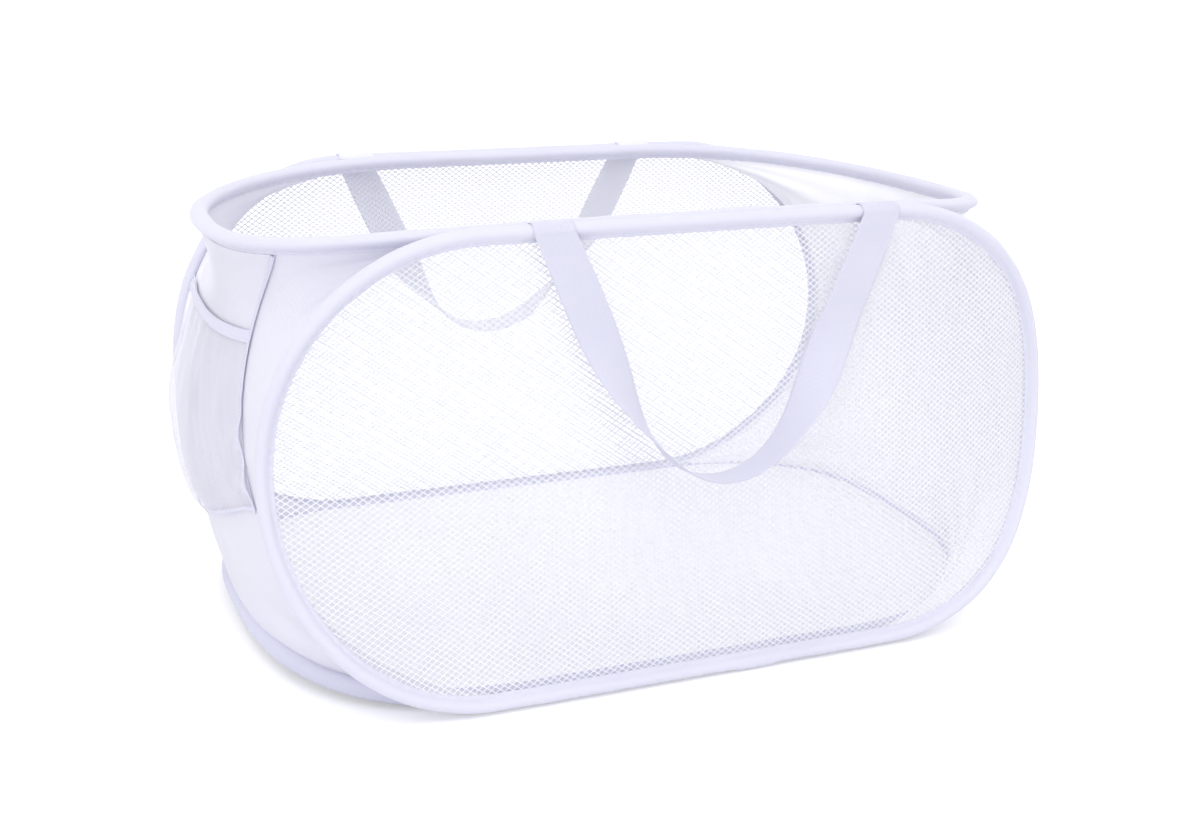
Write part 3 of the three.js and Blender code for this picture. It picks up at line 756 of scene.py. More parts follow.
def cuff_swell(frames):
    """Share of the cuff at each frame: one crisp edge, and a soft one after it."""
    place = frames[0]
    away = np.linalg.norm(place - np.array(CUFF_MIDDLE), axis=1)
    spacing = np.linalg.norm(place[1] - place[0])
    offset = (np.arange(len(place)) - int(np.argmin(away))) * spacing
    crisp = smooth(-CUFF_HALF - 0.001, -CUFF_HALF + 0.001, offset)
    return crisp * faded(CUFF_HALF - 0.001, CUFF_HALF + 0.012, offset)


def ferrule_swell(frames, name):
    """Share of the bulge over the ferrule that joins a hoop's wire."""
    low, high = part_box(f"{name}_ferrule")
    away = np.linalg.norm(frames[0] - np.array((low + high) / 2), axis=1)
    return faded(0.012, 0.019, away)


class HAMPER_OT_sleeves(bpy.types.Operator):
    """Cloth sleeves of the four hoops, each with its two lines of stitches"""

    bl_idname = "hamper.sleeves"
    bl_label = "Sleeves"

    def execute(self, context):
        settings = context.scene.hamper_sleeves
        # The base sleeve's cloth is the sleeves' cloth painted darker: painted shade, as it
        # lies low under the hamper's body.
        cloths = {
            slot: woven_finish(slot, shade, 0.0007, 0.00022)
            for slot, shade in (
                ("sleeve_cloth", settings.cloth), ("base_sleeve_cloth", settings.base_cloth)
            )
        }
        thread = yarn_finish("sewing_thread", settings.thread, 0.0006)
        seam = TUBE_IN + settings.flange - THREAD_INSET
        for seed, (name, hoop) in enumerate(HOOPS.items()):
            frames = hoop.loop(SLEEVE_STEP)
            place, travel, slit, across = frames[:4]
            section = sleeve_sections(hoop, frames, settings, 10 * seed + 3)
            if name == "top":
                section *= 1 + CUFF_SWELL * cuff_swell(frames)[:, None, None]
            bulge = (FERRULE_SWELL * ferrule_swell(frames, name))[:, None]
            section[..., 0] -= bulge * (section[..., 0] < 0)
            part = swept(place, slit, across, section, closed=True)
            part[0][:, 2] = np.maximum(part[0][:, 2], FLOOR_CLEAR)
            slot = "base_sleeve_cloth" if name == "base" else "sleeve_cloth"
            sleeve = make_piece(f"{name}_hoop_sleeve", part, cloths[slot], slot, BODIES[name])
            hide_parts(f"{name}_sleeve")
            place, travel, slit, across = map(ringed, (place, travel, slit, across))
            rows = [
                row_of_stitches(
                    place + slit * seam + across * sign * FLANGE_HALF,
                    travel, across * sign, settings.stitch, THREAD_RADIUS,
                )
                for sign in (1, -1)
            ]
            make_piece(f"{name}_hoop_stitches", joined(rows), thread, slot, BODIES[name])
        return {"FINISHED"}


# Nets

KNOT_HALF = 0.0006  # half the length that two strands run side by side
KNOT_GAP = 0.36  # of a strand's width, from the middle of a knot to each strand
NET_DRIFT, NET_LIFT, NET_SLACK = 0.00032, 0.00026, 0.0011  # unevenness along, up and out


def zigzags(x_range, w_range, cell_width, cell_height, flat, gap):
    """Rows of zigzag strands, each as its points in the flat.

    Neighbours run side by side at their knots, a gap each side, over a flat each way.
    """
    high, wide = cell_height / 2, cell_width / 2
    i = np.arange(math.floor(x_range[0] / wide) - 1, math.ceil(x_range[1] / wide) + 2)
    for row in range(math.floor(w_range[0] / high) - 1, math.ceil(w_range[1] / high) + 1):
        low = (i + row) % 2 == 0
        w = np.where(low, row * high + gap, (row + 1) * high - gap)
        if flat:
            yield np.stack([i * wide - flat, i * wide + flat], -1).ravel(), np.repeat(w, 2)
        else:
            yield i * wide, w


def clipped(x, w, inside):
    """The runs of a strand that lie inside, each cut at the edge."""
    kept = np.concatenate([[False], inside(x, w), [False]]).astype(int)
    starts, stops = np.flatnonzero(np.diff(kept) == 1), np.flatnonzero(np.diff(kept) == -1)

    def crossing(out, within):
        low, high = 0.0, 1.0
        for _ in range(12):
            share = (low + high) / 2
            at = x[out] + (x[within] - x[out]) * share, w[out] + (w[within] - w[out]) * share
            low, high = (low, share) if inside(*map(np.array, at)) else (share, high)
        return at

    for start, stop in zip(starts, stops):
        xs, ws = x[start:stop], w[start:stop]
        if start > 0:
            a, b = crossing(start - 1, start)
            xs, ws = np.append(a, xs), np.append(b, ws)
        if stop < len(x):
            a, b = crossing(stop, stop - 1)
            xs, ws = np.append(xs, a), np.append(ws, b)
        if len(xs) > 2:
            yield xs, ws


def strand(place, normal, width, flatness):
    """One three-sided strand of yarn along its points, flattened against the cloth."""
    side = unit(np.cross(normal, unit(np.gradient(place, axis=0))))
    wide, high = width * 1.15, width * flatness
    turn = 2 * np.pi * np.arange(3) / 3 + np.pi / 2
    section = np.stack([wide / 2 * np.cos(turn), high / 2 * np.sin(turn)], -1)
    return swept(place, side, normal, section)


def unevenness(x, w, seed, pitch=0.045):
    """Slow drift of about one over the flat, the same each time for a seed."""
    draw = np.random.default_rng(seed)
    total = 0
    for _ in range(5):
        turn, phase, size = draw.random(3)
        slanted = x * math.cos(2 * np.pi * turn) + w * math.sin(2 * np.pi * turn)
        total = total + np.sin(slanted * 2 * np.pi / (pitch * (0.6 + size)) + 6 * phase)
    return total / 2.2


def net_part(hoop, facing, half, settings, seed):
    """Strands of one half of a net, tucked under the sleeve's flange."""
    outwards = hoop.turn(facing)
    parts = []

    def inside(x, w):
        return hoop.inside(x, w, NET_MARGIN) & (x * half >= 0)

    rows = zigzags(
        (-HALF_LENGTH, HALF_LENGTH), (-hoop.half, hoop.half),
        settings.cell_width, settings.cell_height, KNOT_HALF, settings.strand * KNOT_GAP,
    )
    for x, w in rows:
        for xs, ws in clipped(x, w, inside):
            normal = hoop.normal(xs, ws) * outwards
            dx = NET_DRIFT * unevenness(xs, ws, seed)
            dw = NET_LIFT * unevenness(xs, ws, seed + 1)
            slack = NET_SLACK * unevenness(xs, ws, seed + 2, 0.13)
            slack = slack * smooth(0, 0.03, hoop.half - np.abs(ws))
            slack = slack * smooth(0, 0.04, HALF_LENGTH - np.abs(xs))
            place = hoop.surface(xs + dx, ws + dw) + normal * slack[:, None]
            parts.append(strand(place, normal, settings.strand, 0.5))
    return joined(parts)


class HAMPER_OT_nets(bpy.types.Operator):
    """Diamond nets of the long sides, every strand modelled, in two halves each"""

    bl_idname = "hamper.nets"
    bl_label = "Nets"

    def execute(self, context):
        settings = context.scene.hamper_nets
        yarn = yarn_finish("net_yarn", settings.yarn, 0.0007)
        for name, facing, seed in (("front", -1, 40), ("back", 1, 50)):
            for side, half in (("left", -1), ("right", 1)):
                part = net_part(HOOPS[name], facing, half, settings, seed)
                net = f"{name}_net_{side}"
                net = make_piece(net, part, yarn, "net", BODIES[name], crease=40)
                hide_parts(f"{name}_net")
        return {"FINISHED"}


# Base and end cloths

BASE_MARGIN = 0.0028  # the base cloth's edge lies this far inside its hoop's centreline
BASE_RISE, BASE_SINK = 0.0044, 0.0056  # of its edge over the centreline, and of its middle
BASE_LOWEST = 0.0008  # its middle lies at least this high
BASE_WAVES = ((61, 0.0011, 0.11), (62, 0.0004, 0.035))  # seed, depth and pitch
RIM_CORNER, BASE_CORNER = 0.122, 0.146  # where an end cloth starts on the hoops' long runs
END_HANG = {-1: (0.5, 0.6), 1: (0.0, 0.4)}  # how much fuller an end is at its back and low down
FILM_CLEAR = 0.0050  # from a hoop's centreline to the end cloth's edge beside it
FILM_TOP_OUT, FILM_BASE_UP = 0.0008, 0.0012  # of its edges, beside the two flanges
FILM_REFIT = 25  # turns of smoothing from one fit of its edges to the next
FOLDS = 13  # in an end cloth, and pleats in the pouch
FILM_STEPS = ((24, 1500), (48, 700), (96, 700))  # cells each way, and turns of smoothing
FILM_RISE = 0.295  # rise of the middle of a film one cell wide under a push of one


class HAMPER_OT_base_cloth(bpy.types.Operator):
    """Base cloth held in the base sleeve's seam"""

    bl_idname = "hamper.base_cloth"
    bl_label = "Base Cloth"

    def execute(self, context):
        settings = context.scene.hamper_cloths
        hoop = HOOPS["base"]
        reach, half = hoop.reach - hoop.straight - BASE_MARGIN, hoop.half - BASE_MARGIN
        turn = np.pi / 2 * (1 - np.linspace(0, 1, 37))
        ends = hoop.straight + reach * np.cos(turn) ** (2 / hoop.roundness)
        x = np.concatenate([hoop.straight * np.linspace(0, 1, 41), ends])
        x = np.unique(np.round(x, 6))
        x = np.concatenate([-x[:0:-1], x])
        out = np.clip((np.abs(x) - hoop.straight) / reach, 0, 1)
        width = half * np.maximum(1 - out**hoop.roundness, 0) ** (1 / hoop.roundness)
        w = np.linspace(-1, 1, 85)[:, None] * np.maximum(width, 0.002)[None, :]
        xs = np.broadcast_to(x, w.shape)
        inner = smooth(0, 0.07, half - np.abs(w))
        inner = inner * smooth(0, 0.1, hoop.straight + reach - np.abs(xs))
        waves = sum(
            depth * unevenness(xs, w, seed, pitch) for seed, depth, pitch in BASE_WAVES
        )
        place = hoop.surface(xs, w)
        height = place[..., 2] + BASE_RISE + inner * (waves - BASE_SINK)
        place[..., 2] = np.maximum(height, BASE_LOWEST)
        up = np.broadcast_to((0.0, 0.0, 1.0), place.shape)
        part = sheet_part(place, up, settings.thickness, (0.57, 0.385))
        cloth = woven_finish("base_cloth", settings.base, 0.0009, 0.0003, rough=(0.5, 0.66))
        piece = make_piece("base_floor_cloth", part, cloth, "base_cloth", "base", crease=60)
        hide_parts("base_panel")
        return {"FINISHED"}


class Film:
    """End cloth as a square grid of points, with outward normals.

    Its rows run down the cloth, and its columns from front to back.
    """

    def __init__(self, grid, side):
        self.grid, self.side = grid, side
        self.normals = unit(np.cross(np.gradient(grid, axis=0), np.gradient(grid, axis=1)))
        self.normals *= np.where(self.normals[..., :1] * side < 0, -1, 1)

    def shares(self):
        """Shares across and down, for each point of the grid."""
        row = np.linspace(0, 1, len(self.grid))
        return np.meshgrid(row, row)

    def moved(self, out):
        """The film moved outwards by a distance for each point."""
        return Film(self.grid + self.normals * out[..., None], self.side)

    def at(self, u, v):
        """Places and normals at shares across and down."""
        last = len(self.grid) - 1
        u, v = np.clip(u, 0, 1) * last, np.clip(v, 0, 1) * last
        c, r = np.minimum(u.astype(int), last - 1), np.minimum(v.astype(int), last - 1)
        fu, fv = (u - c)[..., None], (v - r)[..., None]

        def mixed(table):
            upper = table[r, c] * (1 - fu) + table[r, c + 1] * fu
            lower = table[r + 1, c] * (1 - fu) + table[r + 1, c + 1] * fu
            return upper * (1 - fv) + lower * fv

        return mixed(self.grid), unit(mixed(self.normals))


def beside(frames, towards):
    """Points just inside the skin of a sleeve, on the side that looks towards other points."""
    place, travel = frames[:2]
    out = towards - place
    out = unit(out - travel * np.sum(out * travel, -1, keepdims=True))
    return place + out * FILM_CLEAR


def doubled(grid):
    """The grid with one more row and column between each two."""
    count = 2 * len(grid) - 1
    finer = np.empty((count, count, 3))
    finer[::2, ::2] = grid
    finer[1::2, ::2] = (grid[:-1] + grid[1:]) / 2
    finer[:, 1::2] = (finer[:, :-1:2] + finer[:, 2::2]) / 2
    return finer


@lru_cache
def end_film(side, fullness):
    """Cloth of one end, drawn between the four hoops and filled out."""
    lean, sag = END_HANG[side]
    grid = None
    for steps, turns in FILM_STEPS:
        count = steps + 1
        top = HOOPS["top"].end_run(side, RIM_CORNER, RIM_CORNER, count)
        base = HOOPS["base"].end_run(side, BASE_CORNER, BASE_CORNER, count)
        front, back = (
            [v[::-1] for v in HOOPS[name].end_run(side, BASE_CORNER, RIM_CORNER, count)]
            for name in ("front", "back")
        )
        top_out = top[3] * np.sign(top[3][:, :1] * side)
        base_up = base[3] * np.sign(base[3][:, 2:])
        top_edge = top[0] + top[2] * NET_MARGIN + top_out * FILM_TOP_OUT
        base_edge = base[0] + base[2] * NET_MARGIN + base_up * FILM_BASE_UP
        if grid is None:
            v = np.linspace(0, 1, count)[:, None, None]
            u = np.linspace(0, 1, count)[None, :, None]
            grid = (
                top_edge[None] * (1 - v) + base_edge[None] * v
                + front[0][:, None] * (1 - u) + back[0][:, None] * u
            ) / 2
        else:
            grid = doubled(grid)
        share = np.linspace(-1, 1, count)[1:-1]
        uneven = (1 + lean * share[None, :]) * (1 + sag * share[:, None])
        push = side * fullness / (FILM_RISE * steps**2) * uneven
        for turn in range(turns):
            if turn % FILM_REFIT == 0:
                grid[0], grid[-1] = top_edge, beside(base, grid[-2])
                grid[1:-1, 0] = beside(front, grid[:, 1])[1:-1]
                grid[1:-1, -1] = beside(back, grid[:, -2])[1:-1]
            inner = grid[:-2, 1:-1] + grid[2:, 1:-1] + grid[1:-1, :-2] + grid[1:-1, 2:]
            grid[1:-1, 1:-1] = inner / 4
            grid[1:-1, 1:-1, 0] += push
    return Film(grid, side)


def end_folds(film, depth):
    """The film with the soft folds of slack satin. It lies smooth under the pocket."""
    u, v = film.shares()
    draw = np.random.default_rng(70 + film.side)
    folds = np.zeros_like(u)
    for _ in range(FOLDS):
        middle, lean = draw.uniform(0.05, 0.95), draw.normal(0, 0.10)
        wide = draw.uniform(0.012, 0.035)
        start, stop = sorted(draw.uniform(-0.1, 1.1, 2))
        line = middle + lean * (v - 0.5) + 0.02 * np.sin(5 * v + 6 * middle)
        reach = smooth(start - 0.15, start + 0.15, v) * faded(stop - 0.15, stop + 0.15, v)
        folds += draw.choice([-1, 1]) * np.exp(-(((u - line) / wide) ** 2)) * reach
    for corner_u, corner_v in ((0, 0), (1, 0), (0, 1), (1, 1)):
        away = np.hypot(u - corner_u, v - corner_v)
        bearing = np.arctan2(np.abs(v - corner_v), np.abs(u - corner_u))
        near = np.exp(-((away - 0.22) ** 2) / 0.03)
        folds += 0.5 * np.sin(bearing * 15 + 3 * corner_u) * near
    edge = smooth(0, 0.07, u) * smooth(0, 0.07, 1 - u)
    edge = edge * smooth(0, 0.05, v) * smooth(0, 0.05, 1 - v)
    if film.side < 0:
        edge = edge * (1 - smooth(0.20, 0.31, u) * faded(0.74, 0.84, v))
    return film.moved(depth * folds * edge)


def pocketed(film, bulge):
    """The left end's film, pushed out by the full pouch and, above it, by the backing."""
    u, v = film.shares()
    front = front_edge(v)
    p = np.clip((u - front) / (POCKET_BACK - front), 0, 1)
    near_mouth = smooth(-0.10, 0.0, v - mouth(p))
    push = bulge * CLOTH_SHARE * pouch_swell(p, v) * near_mouth * (v < bottom(p))
    upper = BACKING_PUSH * smooth(0.55, 0.85, u) * faded(0.93, 1, u)
    push = push + upper * smooth(0, 0.07, v) * faded(0.26, 0.46, v)
    return film.moved(push * smooth(0, 0.03, 1 - u))


class HAMPER_OT_end_cloths(bpy.types.Operator):
    """Satin cloths of the two ends, drawn between the hoops with soft folds"""

    bl_idname = "hamper.end_cloths"
    bl_label = "End Cloths"

    def execute(self, context):
        settings = context.scene.hamper_cloths
        # The right end takes its lighter colour of painted light, the left its own satin
        # colour.
        shades = {-1: settings.satin, 1: settings.right_satin_painted_light}
        for name, side in (("left", -1), ("right", 1)):
            film = end_film(side, settings.fullness)
            if side < 0:
                film = pocketed(film, context.scene.hamper_pocket.bulge)
            film = end_folds(film, settings.fold)
            satin = satin_finish(f"{name}_end_satin", shades[side])
            part = sheet_part(film.grid, film.normals, settings.thickness, (0.37, 0.33))
            piece = make_piece(f"{name}_end_cloth", part, satin, "end_cloth", "base", crease=60)
            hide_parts(f"{name}_end_panel")
            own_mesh(piece)
            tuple(FOLD_ANCHOR)
        return {"FINISHED"}


# Pocket

POCKET_BACK, POCKET_TOP = 0.985, 0.006  # shares across the end cloth and down it
MESH_WIDTH, MESH_HEIGHT = 0.262, 0.330  # of the end cloth, for the mesh's openings
LINING_SIZE, LINING_THICKNESS = (0.25, 0.23), 0.0003
TAPE_FOOT = 0.618  # share down the end cloth, where the turned edge ends
CLOTH_SHARE = 0.72  # of the pouch's fullness, taken up by the end cloth behind it
PLEAT_DEPTH, PLEAT_LOW = 0.0013, -0.0012  # of one pleat, and the lowest that they reach
POUCH_CLEAR, TAPE_CLEAR, BACKING_CLEAR = 0.0028, 0.0017, 0.0011  # from the end cloth
BACKING_PUSH = 0.0075  # how far the end cloth stands out behind the backing
BACKING_FULLNESS, BACKING_WAVES = 0.0015, 0.0002
RUFFLE_DEPTH = 0.0013
RUFFLES = 11  # waves of the pocket's front edge over the whole end


def through(*pairs):
    """Smooth curve fitted through pairs of numbers."""
    return np.polynomial.Polynomial.fit(*zip(*pairs), min(len(pairs) - 1, 4))


# The pocket's front edge across the end cloth by the share down it, and the pouch's mouth and
# bottom down it by the share across the pocket
front_edge = through(
    (0, 0.301), (0.191, 0.316), (0.254, 0.314), (0.361, 0.293), (0.458, 0.266),
    (0.538, 0.234), (0.615, 0.203),
)
mouth = through(
    (0, 0.253), (0.22, 0.249), (0.44, 0.258), (0.66, 0.290), (0.85, 0.335), (1, 0.370)
)
bottom = through(
    (0, 0.615), (0.1, 0.634), (0.25, 0.690), (0.5, 0.752), (0.75, 0.768), (1, 0.765)
)


def pocket_place(film, p, v, stand):
    """Places and normals on the pocket, at shares across it and down the end cloth."""
    front = front_edge(v)
    place, normal = film.at(front + (POCKET_BACK - front) * p, v)
    return place + normal * stand[..., None], normal


def pleats(p, down):
    """Upright pleats of the gathered mesh, as heights."""
    draw = np.random.default_rng(83)
    total = np.zeros(np.broadcast(p, down).shape)
    for _ in range(FOLDS):
        middle, lean = draw.uniform(0.03, 0.97), draw.normal(0, 0.12)
        wide = draw.uniform(0.012, 0.034)
        line = middle + lean * (down - 0.3)
        total = total + draw.choice([-0.7, 1.0]) * np.exp(-(((p - line) / wide) ** 2))
    return PLEAT_DEPTH * total


def edge_stand(v):
    """How far the pocket's front edge stands off the end cloth. It is ruffled low down."""
    low = smooth(0.38, 0.46, v) * faded(0.57, 0.61, v)
    ruffle = RUFFLE_DEPTH + RUFFLE_DEPTH * np.sin(2 * np.pi * v * RUFFLES)
    return TAPE_CLEAR + low * ruffle


def pouch_down(p, v):
    """Share down the pouch, from its mouth to its bottom."""
    return np.clip((v - mouth(p)) / (bottom(p) - mouth(p)), 0, 1)


def pouch_swell(p, v):
    """Share of the pouch's fullness, from its edges to its middle."""
    down = pouch_down(p, v)
    across = smooth(0, 0.42, p) * faded(0.80, 1.0, p)
    return across * (0.12 + 0.88 * smooth(0, 0.55, down)) * np.sqrt(1 - down**5)


def pouch_stand(p, v, bulge):
    """How far the pouch stands off the end cloth."""
    p = np.clip(p, 0, 1)
    down = pouch_down(p, v)
    swell = bulge * (1 - CLOTH_SHARE) * pouch_swell(p, v)
    folded = pleats(p, down) * smooth(0, 0.1, p) * smooth(0.05, 0.4, 1 - p)
    folded = folded * smooth(0, 0.12, down) * (1 - 0.7 * smooth(0.3, 1, down))
    body = POUCH_CLEAR + swell + np.maximum(folded, PLEAT_LOW)
    return body + (edge_stand(v) - body) * faded(0, 0.1, p)


def backing_stand(p, v):
    """How far the backing stands off the end cloth, a little more just under the rim."""
    full = BACKING_FULLNESS * smooth(0.15, 0.45, p) * faded(0.75, 1, p)
    full = full * smooth(0, 0.04, v) * faded(0.08, 0.26, v)
    waves = BACKING_WAVES * (1 + unevenness(p * 0.2, v * 0.3, 88, 0.05)) / 2
    return BACKING_CLEAR + full + waves


def mesh_part(film, settings, stand, top):
    """Fine mesh over the pocket, strand by strand, from a line across it down to its bottom."""

    def inside(x, w):
        p, v = x / MESH_WIDTH, w / MESH_HEIGHT
        return (0 < p) & (p < 1) & (top(p) < v) & (v < bottom(p))

    rows = zigzags(
        (0, MESH_WIDTH), (0, MESH_HEIGHT * 0.78),
        settings.cell_width, settings.cell_height, 0, 0.00008,
    )
    parts = []
    for x, w in rows:
        for xs, ws in clipped(x, w, inside):
            p, v = xs / MESH_WIDTH, ws / MESH_HEIGHT
            drift = 0.0004 * unevenness(xs, ws, 90) / MESH_WIDTH
            place, normal = pocket_place(film, p + drift, v, stand(p, v))
            parts.append(strand(place, normal, settings.strand, 0.3))
    return joined(parts)


def pocket_band(film, p, v, stand, width, sway=0.0, thickness=0.0008):
    """A band along a line on the pocket: its part, and its centre, travel, side and normal."""
    place, normal = pocket_place(film, p, v, stand)
    travel = unit(np.gradient(place, axis=0))
    side = unit(np.cross(normal, travel))
    centre = place + side * sway
    part = swept(centre, side, normal, band_section(width, thickness, 7, 0.0001))
    return part, (centre, travel, side, normal)


class HAMPER_OT_pocket(bpy.types.Operator):
    """Mesh pocket on the left end: a pale sheet of painted light behind it, two meshes, hem,
    turned edges and stitches
    """

    bl_idname = "hamper.pocket"
    bl_label = "Pocket"

    def execute(self, context):
        settings = context.scene.hamper_pocket
        film = end_film(-1, context.scene.hamper_cloths.fullness)
        film = pocketed(film, settings.bulge)
        yarn = yarn_finish("pocket_yarn", settings.yarn, 0.0006, sheen=0.45)
        binding = woven_finish("pocket_binding", settings.binding, 0.0006, 0.00018)
        thread = yarn_finish("pocket_thread", settings.yarn, 0.0005)
        cloth = woven_finish("pocket_lining", settings.painted_light_lining, 0.0007, 0.0002, sheen=0.4)

        def stand(p, v):
            return pouch_stand(p, v, settings.bulge)

        backing = mesh_part(film, settings, backing_stand, lambda p: POCKET_TOP)
        pouch = mesh_part(film, settings, stand, mouth)
        # A sheet lighter than the satin, just behind the meshes: painted light that brightens
        # the pocket.
        across, drop = np.meshgrid(np.linspace(0.006, 0.994, 60), np.linspace(0, 1, 70))
        drop = POCKET_TOP + (bottom(across) - POCKET_TOP) * drop
        behind = pocket_place(film, across, drop, backing_stand(across, drop) - 0.0005)
        painted_light_lining = sheet_part(*behind, LINING_THICKNESS, LINING_SIZE)

        run = np.linspace(0, 1, 160)
        row = mouth(run) + settings.hem / 2 / MESH_HEIGHT
        hem, hem_line = pocket_band(film, run, row, stand(run, row) + 0.0004, settings.hem)
        down = np.linspace(POCKET_TOP, TAPE_FOOT, 200)
        ruffle = smooth(0.36, 0.44, down) * np.sin(2 * np.pi * down * RUFFLES + 1)
        tape, tape_line = pocket_band(
            film, down * 0 + 0.004, down, edge_stand(down) + 0.0002, settings.tape,
            sway=(0.0004 * ruffle)[:, None],
        )
        row = bottom(run) - 0.003
        seam, seam_line = pocket_band(film, run, row, stand(run, row), 0.0026, thickness=0.0011)

        stitches = []
        for line, share, pitch in (
            (hem_line, -0.38, 0.0026), (hem_line, 0.38, 0.0026),
            (tape_line, 0, 0.0028), (seam_line, 0, 0.0028),
        ):
            centre, travel, side, normal = line
            place = centre + side * settings.hem * share + normal * 0.0006
            stitches.append(row_of_stitches(place, travel, normal, pitch, 0.0002))

        pieces = (
            ("pocket_lining", painted_light_lining, cloth, "end_cloth", None),
            ("pocket_backing_mesh", backing, yarn, "pocket_mesh", "pocket_backing"),
            ("pocket_pouch_mesh", pouch, yarn, "pocket_mesh", "pocket_pouch"),
            ("pocket_mouth_hem", hem, binding, "webbing", "pocket_hem"),
            ("pocket_front_tape", tape, binding, "webbing", "pocket_tape"),
            ("pocket_bottom_seam", seam, binding, "webbing", None),
            ("pocket_stitches", joined(stitches), thread, "webbing", None),
        )
        for name, part, material, slot, node in pieces:
            crease = 40 if slot == "pocket_mesh" else None
            piece = make_piece(name, part, material, slot, "base", crease=crease)
            if node:
                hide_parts(node)
            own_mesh(piece)
            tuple(FOLD_ANCHOR)
        return {"FINISHED"}


# Handles


HANDLE_MIDDLE = 0.017  # the front handle sits this far right of the middle, the back one left
HALF_SPANS = {-1: 0.123, 1: 0.126}  # half the distance between the ends, in front and behind
SEWN_CLEAR, LOOP_CLEAR = 0.0002, 0.003  # from the sleeve, and from the net at the bottom
LOOP_SHARES = {-1: 1, 1: 0.93}  # of the drop, in front and behind
FRONT_SWAY = -0.009  # the front loop hangs this far to the left of its middle
# A loop's curve from its end to its bottom: shares of the half span and of the drop
LOOP_PULLS = np.array([[1, 0], [0.64, 0.6], [0.42, 1], [0, 1]])


def handle_side(facing, end, settings):
    """Centres and directions across for one side of a handle.

    They run from its sewn end over the sleeve and down to the loop's bottom.
    """
    hoop = HOOPS["front" if facing < 0 else "back"]
    middle, half_span = -facing * HANDLE_MIDDLE, HALF_SPANS[facing]
    drop = settings.drop * LOOP_SHARES[facing]
    along_rim = np.array([-end, 0.0, 0.0])
    clear = SEWN_CLEAR + settings.thickness / 2
    reach = TUBE_ACROSS + clear
    rim = hoop.surface(CENTRE, np.array(hoop.half))
    angle = np.radians(np.linspace(24, 180, 44))[:-1]
    wrap = point(
        middle + end * half_span,
        facing * (abs(rim[1]) - reach * np.cos(angle)),
        rim[2] + (TUBE_OUT + clear) * np.sin(angle),
    )
    t = np.linspace(0, 1, 120)[:, None]
    curve = (
        (1 - t) ** 3 * LOOP_PULLS[0] + 3 * (1 - t) ** 2 * t * LOOP_PULLS[1]
        + 3 * (1 - t) * t**2 * LOOP_PULLS[2] + t**3 * LOOP_PULLS[3]
    )
    slope = np.gradient(curve, axis=0)
    spread, fall = curve[:, 0], curve[:, 1]
    out = hoop.normal(CENTRE, CENTRE) * hoop.turn(facing)
    twist = smooth(0.33, 0.97, fall) * np.pi / 2
    hanging = LOOP_CLEAR + settings.thickness + np.sin(twist) * settings.width / 2
    stand = reach + (hanging - reach) * smooth(0, 1, fall)
    place = hoop.surface(fall * 0, hoop.half - fall * drop)
    place[:, 0] = middle + end * spread * half_span + SHIFT
    if facing < 0:
        place[:, 0] += FRONT_SWAY * fall**2
    place[:, 1] += out[1] * stand
    travel = np.stack([end * slope[:, 0] * half_span, 0 * fall, -slope[:, 1] * drop], -1)
    square = unit(np.cross(out, travel))
    square *= np.where(square[:, :1] * end > 0, -1, 1)
    eased = smooth(0, 1 / 3, fall)[:, None]
    across = (along_rim * (1 - eased) + square * eased) * np.cos(twist)[:, None]
    across = unit(across - out * np.sin(twist)[:, None])
    along_rims = np.tile(along_rim, (len(wrap), 1))
    return np.vstack([wrap, place]), np.vstack([along_rims, across])


class HAMPER_OT_handles(bpy.types.Operator):
    """Webbing handles: each one strap, sewn in at both ends and hanging in a loop"""

    bl_idname = "hamper.handles"
    bl_label = "Handles"

    def execute(self, context):
        settings = context.scene.hamper_handles
        section = band_section(settings.width, settings.thickness, 14)
        # The back strap takes its lighter colour of painted light, the front one the webbing's
        # own colour.
        for name, facing, shade in (
            ("front", -1, settings.webbing), ("back", 1, settings.back_webbing_painted_light)
        ):
            webbing = webbing_finish(f"{name}_webbing", shade)
            left, right = (handle_side(facing, end, settings) for end in (-1, 1))
            centres, across = (np.vstack([left[i], right[i][-2::-1]]) for i in (0, 1))
            out = unit(np.cross(unit(np.gradient(centres, axis=0)), across))
            part = swept(centres, across, out, section)
            strap = make_piece(f"{name}_carry_strap", part, webbing, "webbing", crease=50)
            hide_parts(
                f"{name}_handle", f"{name}_handle_end_left", f"{name}_handle_end_right"
            )
            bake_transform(strap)
        return {"FINISHED"}


class HAMPER_OT_steel(bpy.types.Operator):
    """Spring steel on the frame's own wires and ferrules"""

    bl_idname = "hamper.steel"
    bl_label = "Wires and Ferrules"

    def execute(self, context):
        steel = steel_finish("spring_steel")
        for name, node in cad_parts.items():
            if name.endswith(("_wire", "_ferrule")):
                node.data.materials.clear()
                node.data.materials.append(steel)
        return {"FINISHED"}


# Stage

CAMERA_PLACE = (-0.47927, -1.16152, 0.5138)
CAMERA_YAW, CAMERA_PITCH, CAMERA_ROLL = 22.9367, 16.5762, 0.7543
CAMERA_LENS = 49.014
SKY_COLOUR = (0.975, 0.972, 1.0, 1)
FLOOR_GLOW, SKY_GLOW = 0.3, 1.0  # white that only the camera, mirrors and glass see
FLOOR_SIZE, FLOOR_ROUGHNESS = 14, 0.9
SENSOR_WIDTH = 36  # in mm
LAMPS = (  # place, aim, size and share of the key lamp's power
    ("key_lamp", (-0.5, -0.9, 2.6), (0, 0, 0.15), 2.2, 1),
    ("fill_lamp", (1.8, -1.6, 1.5), (0, 0, 0.15), 2.2, 0.15),
    ("front_lamp", (-1.4, -2.1, 0.6), (0, 0, 0.2), 1.8, 0.42),
)


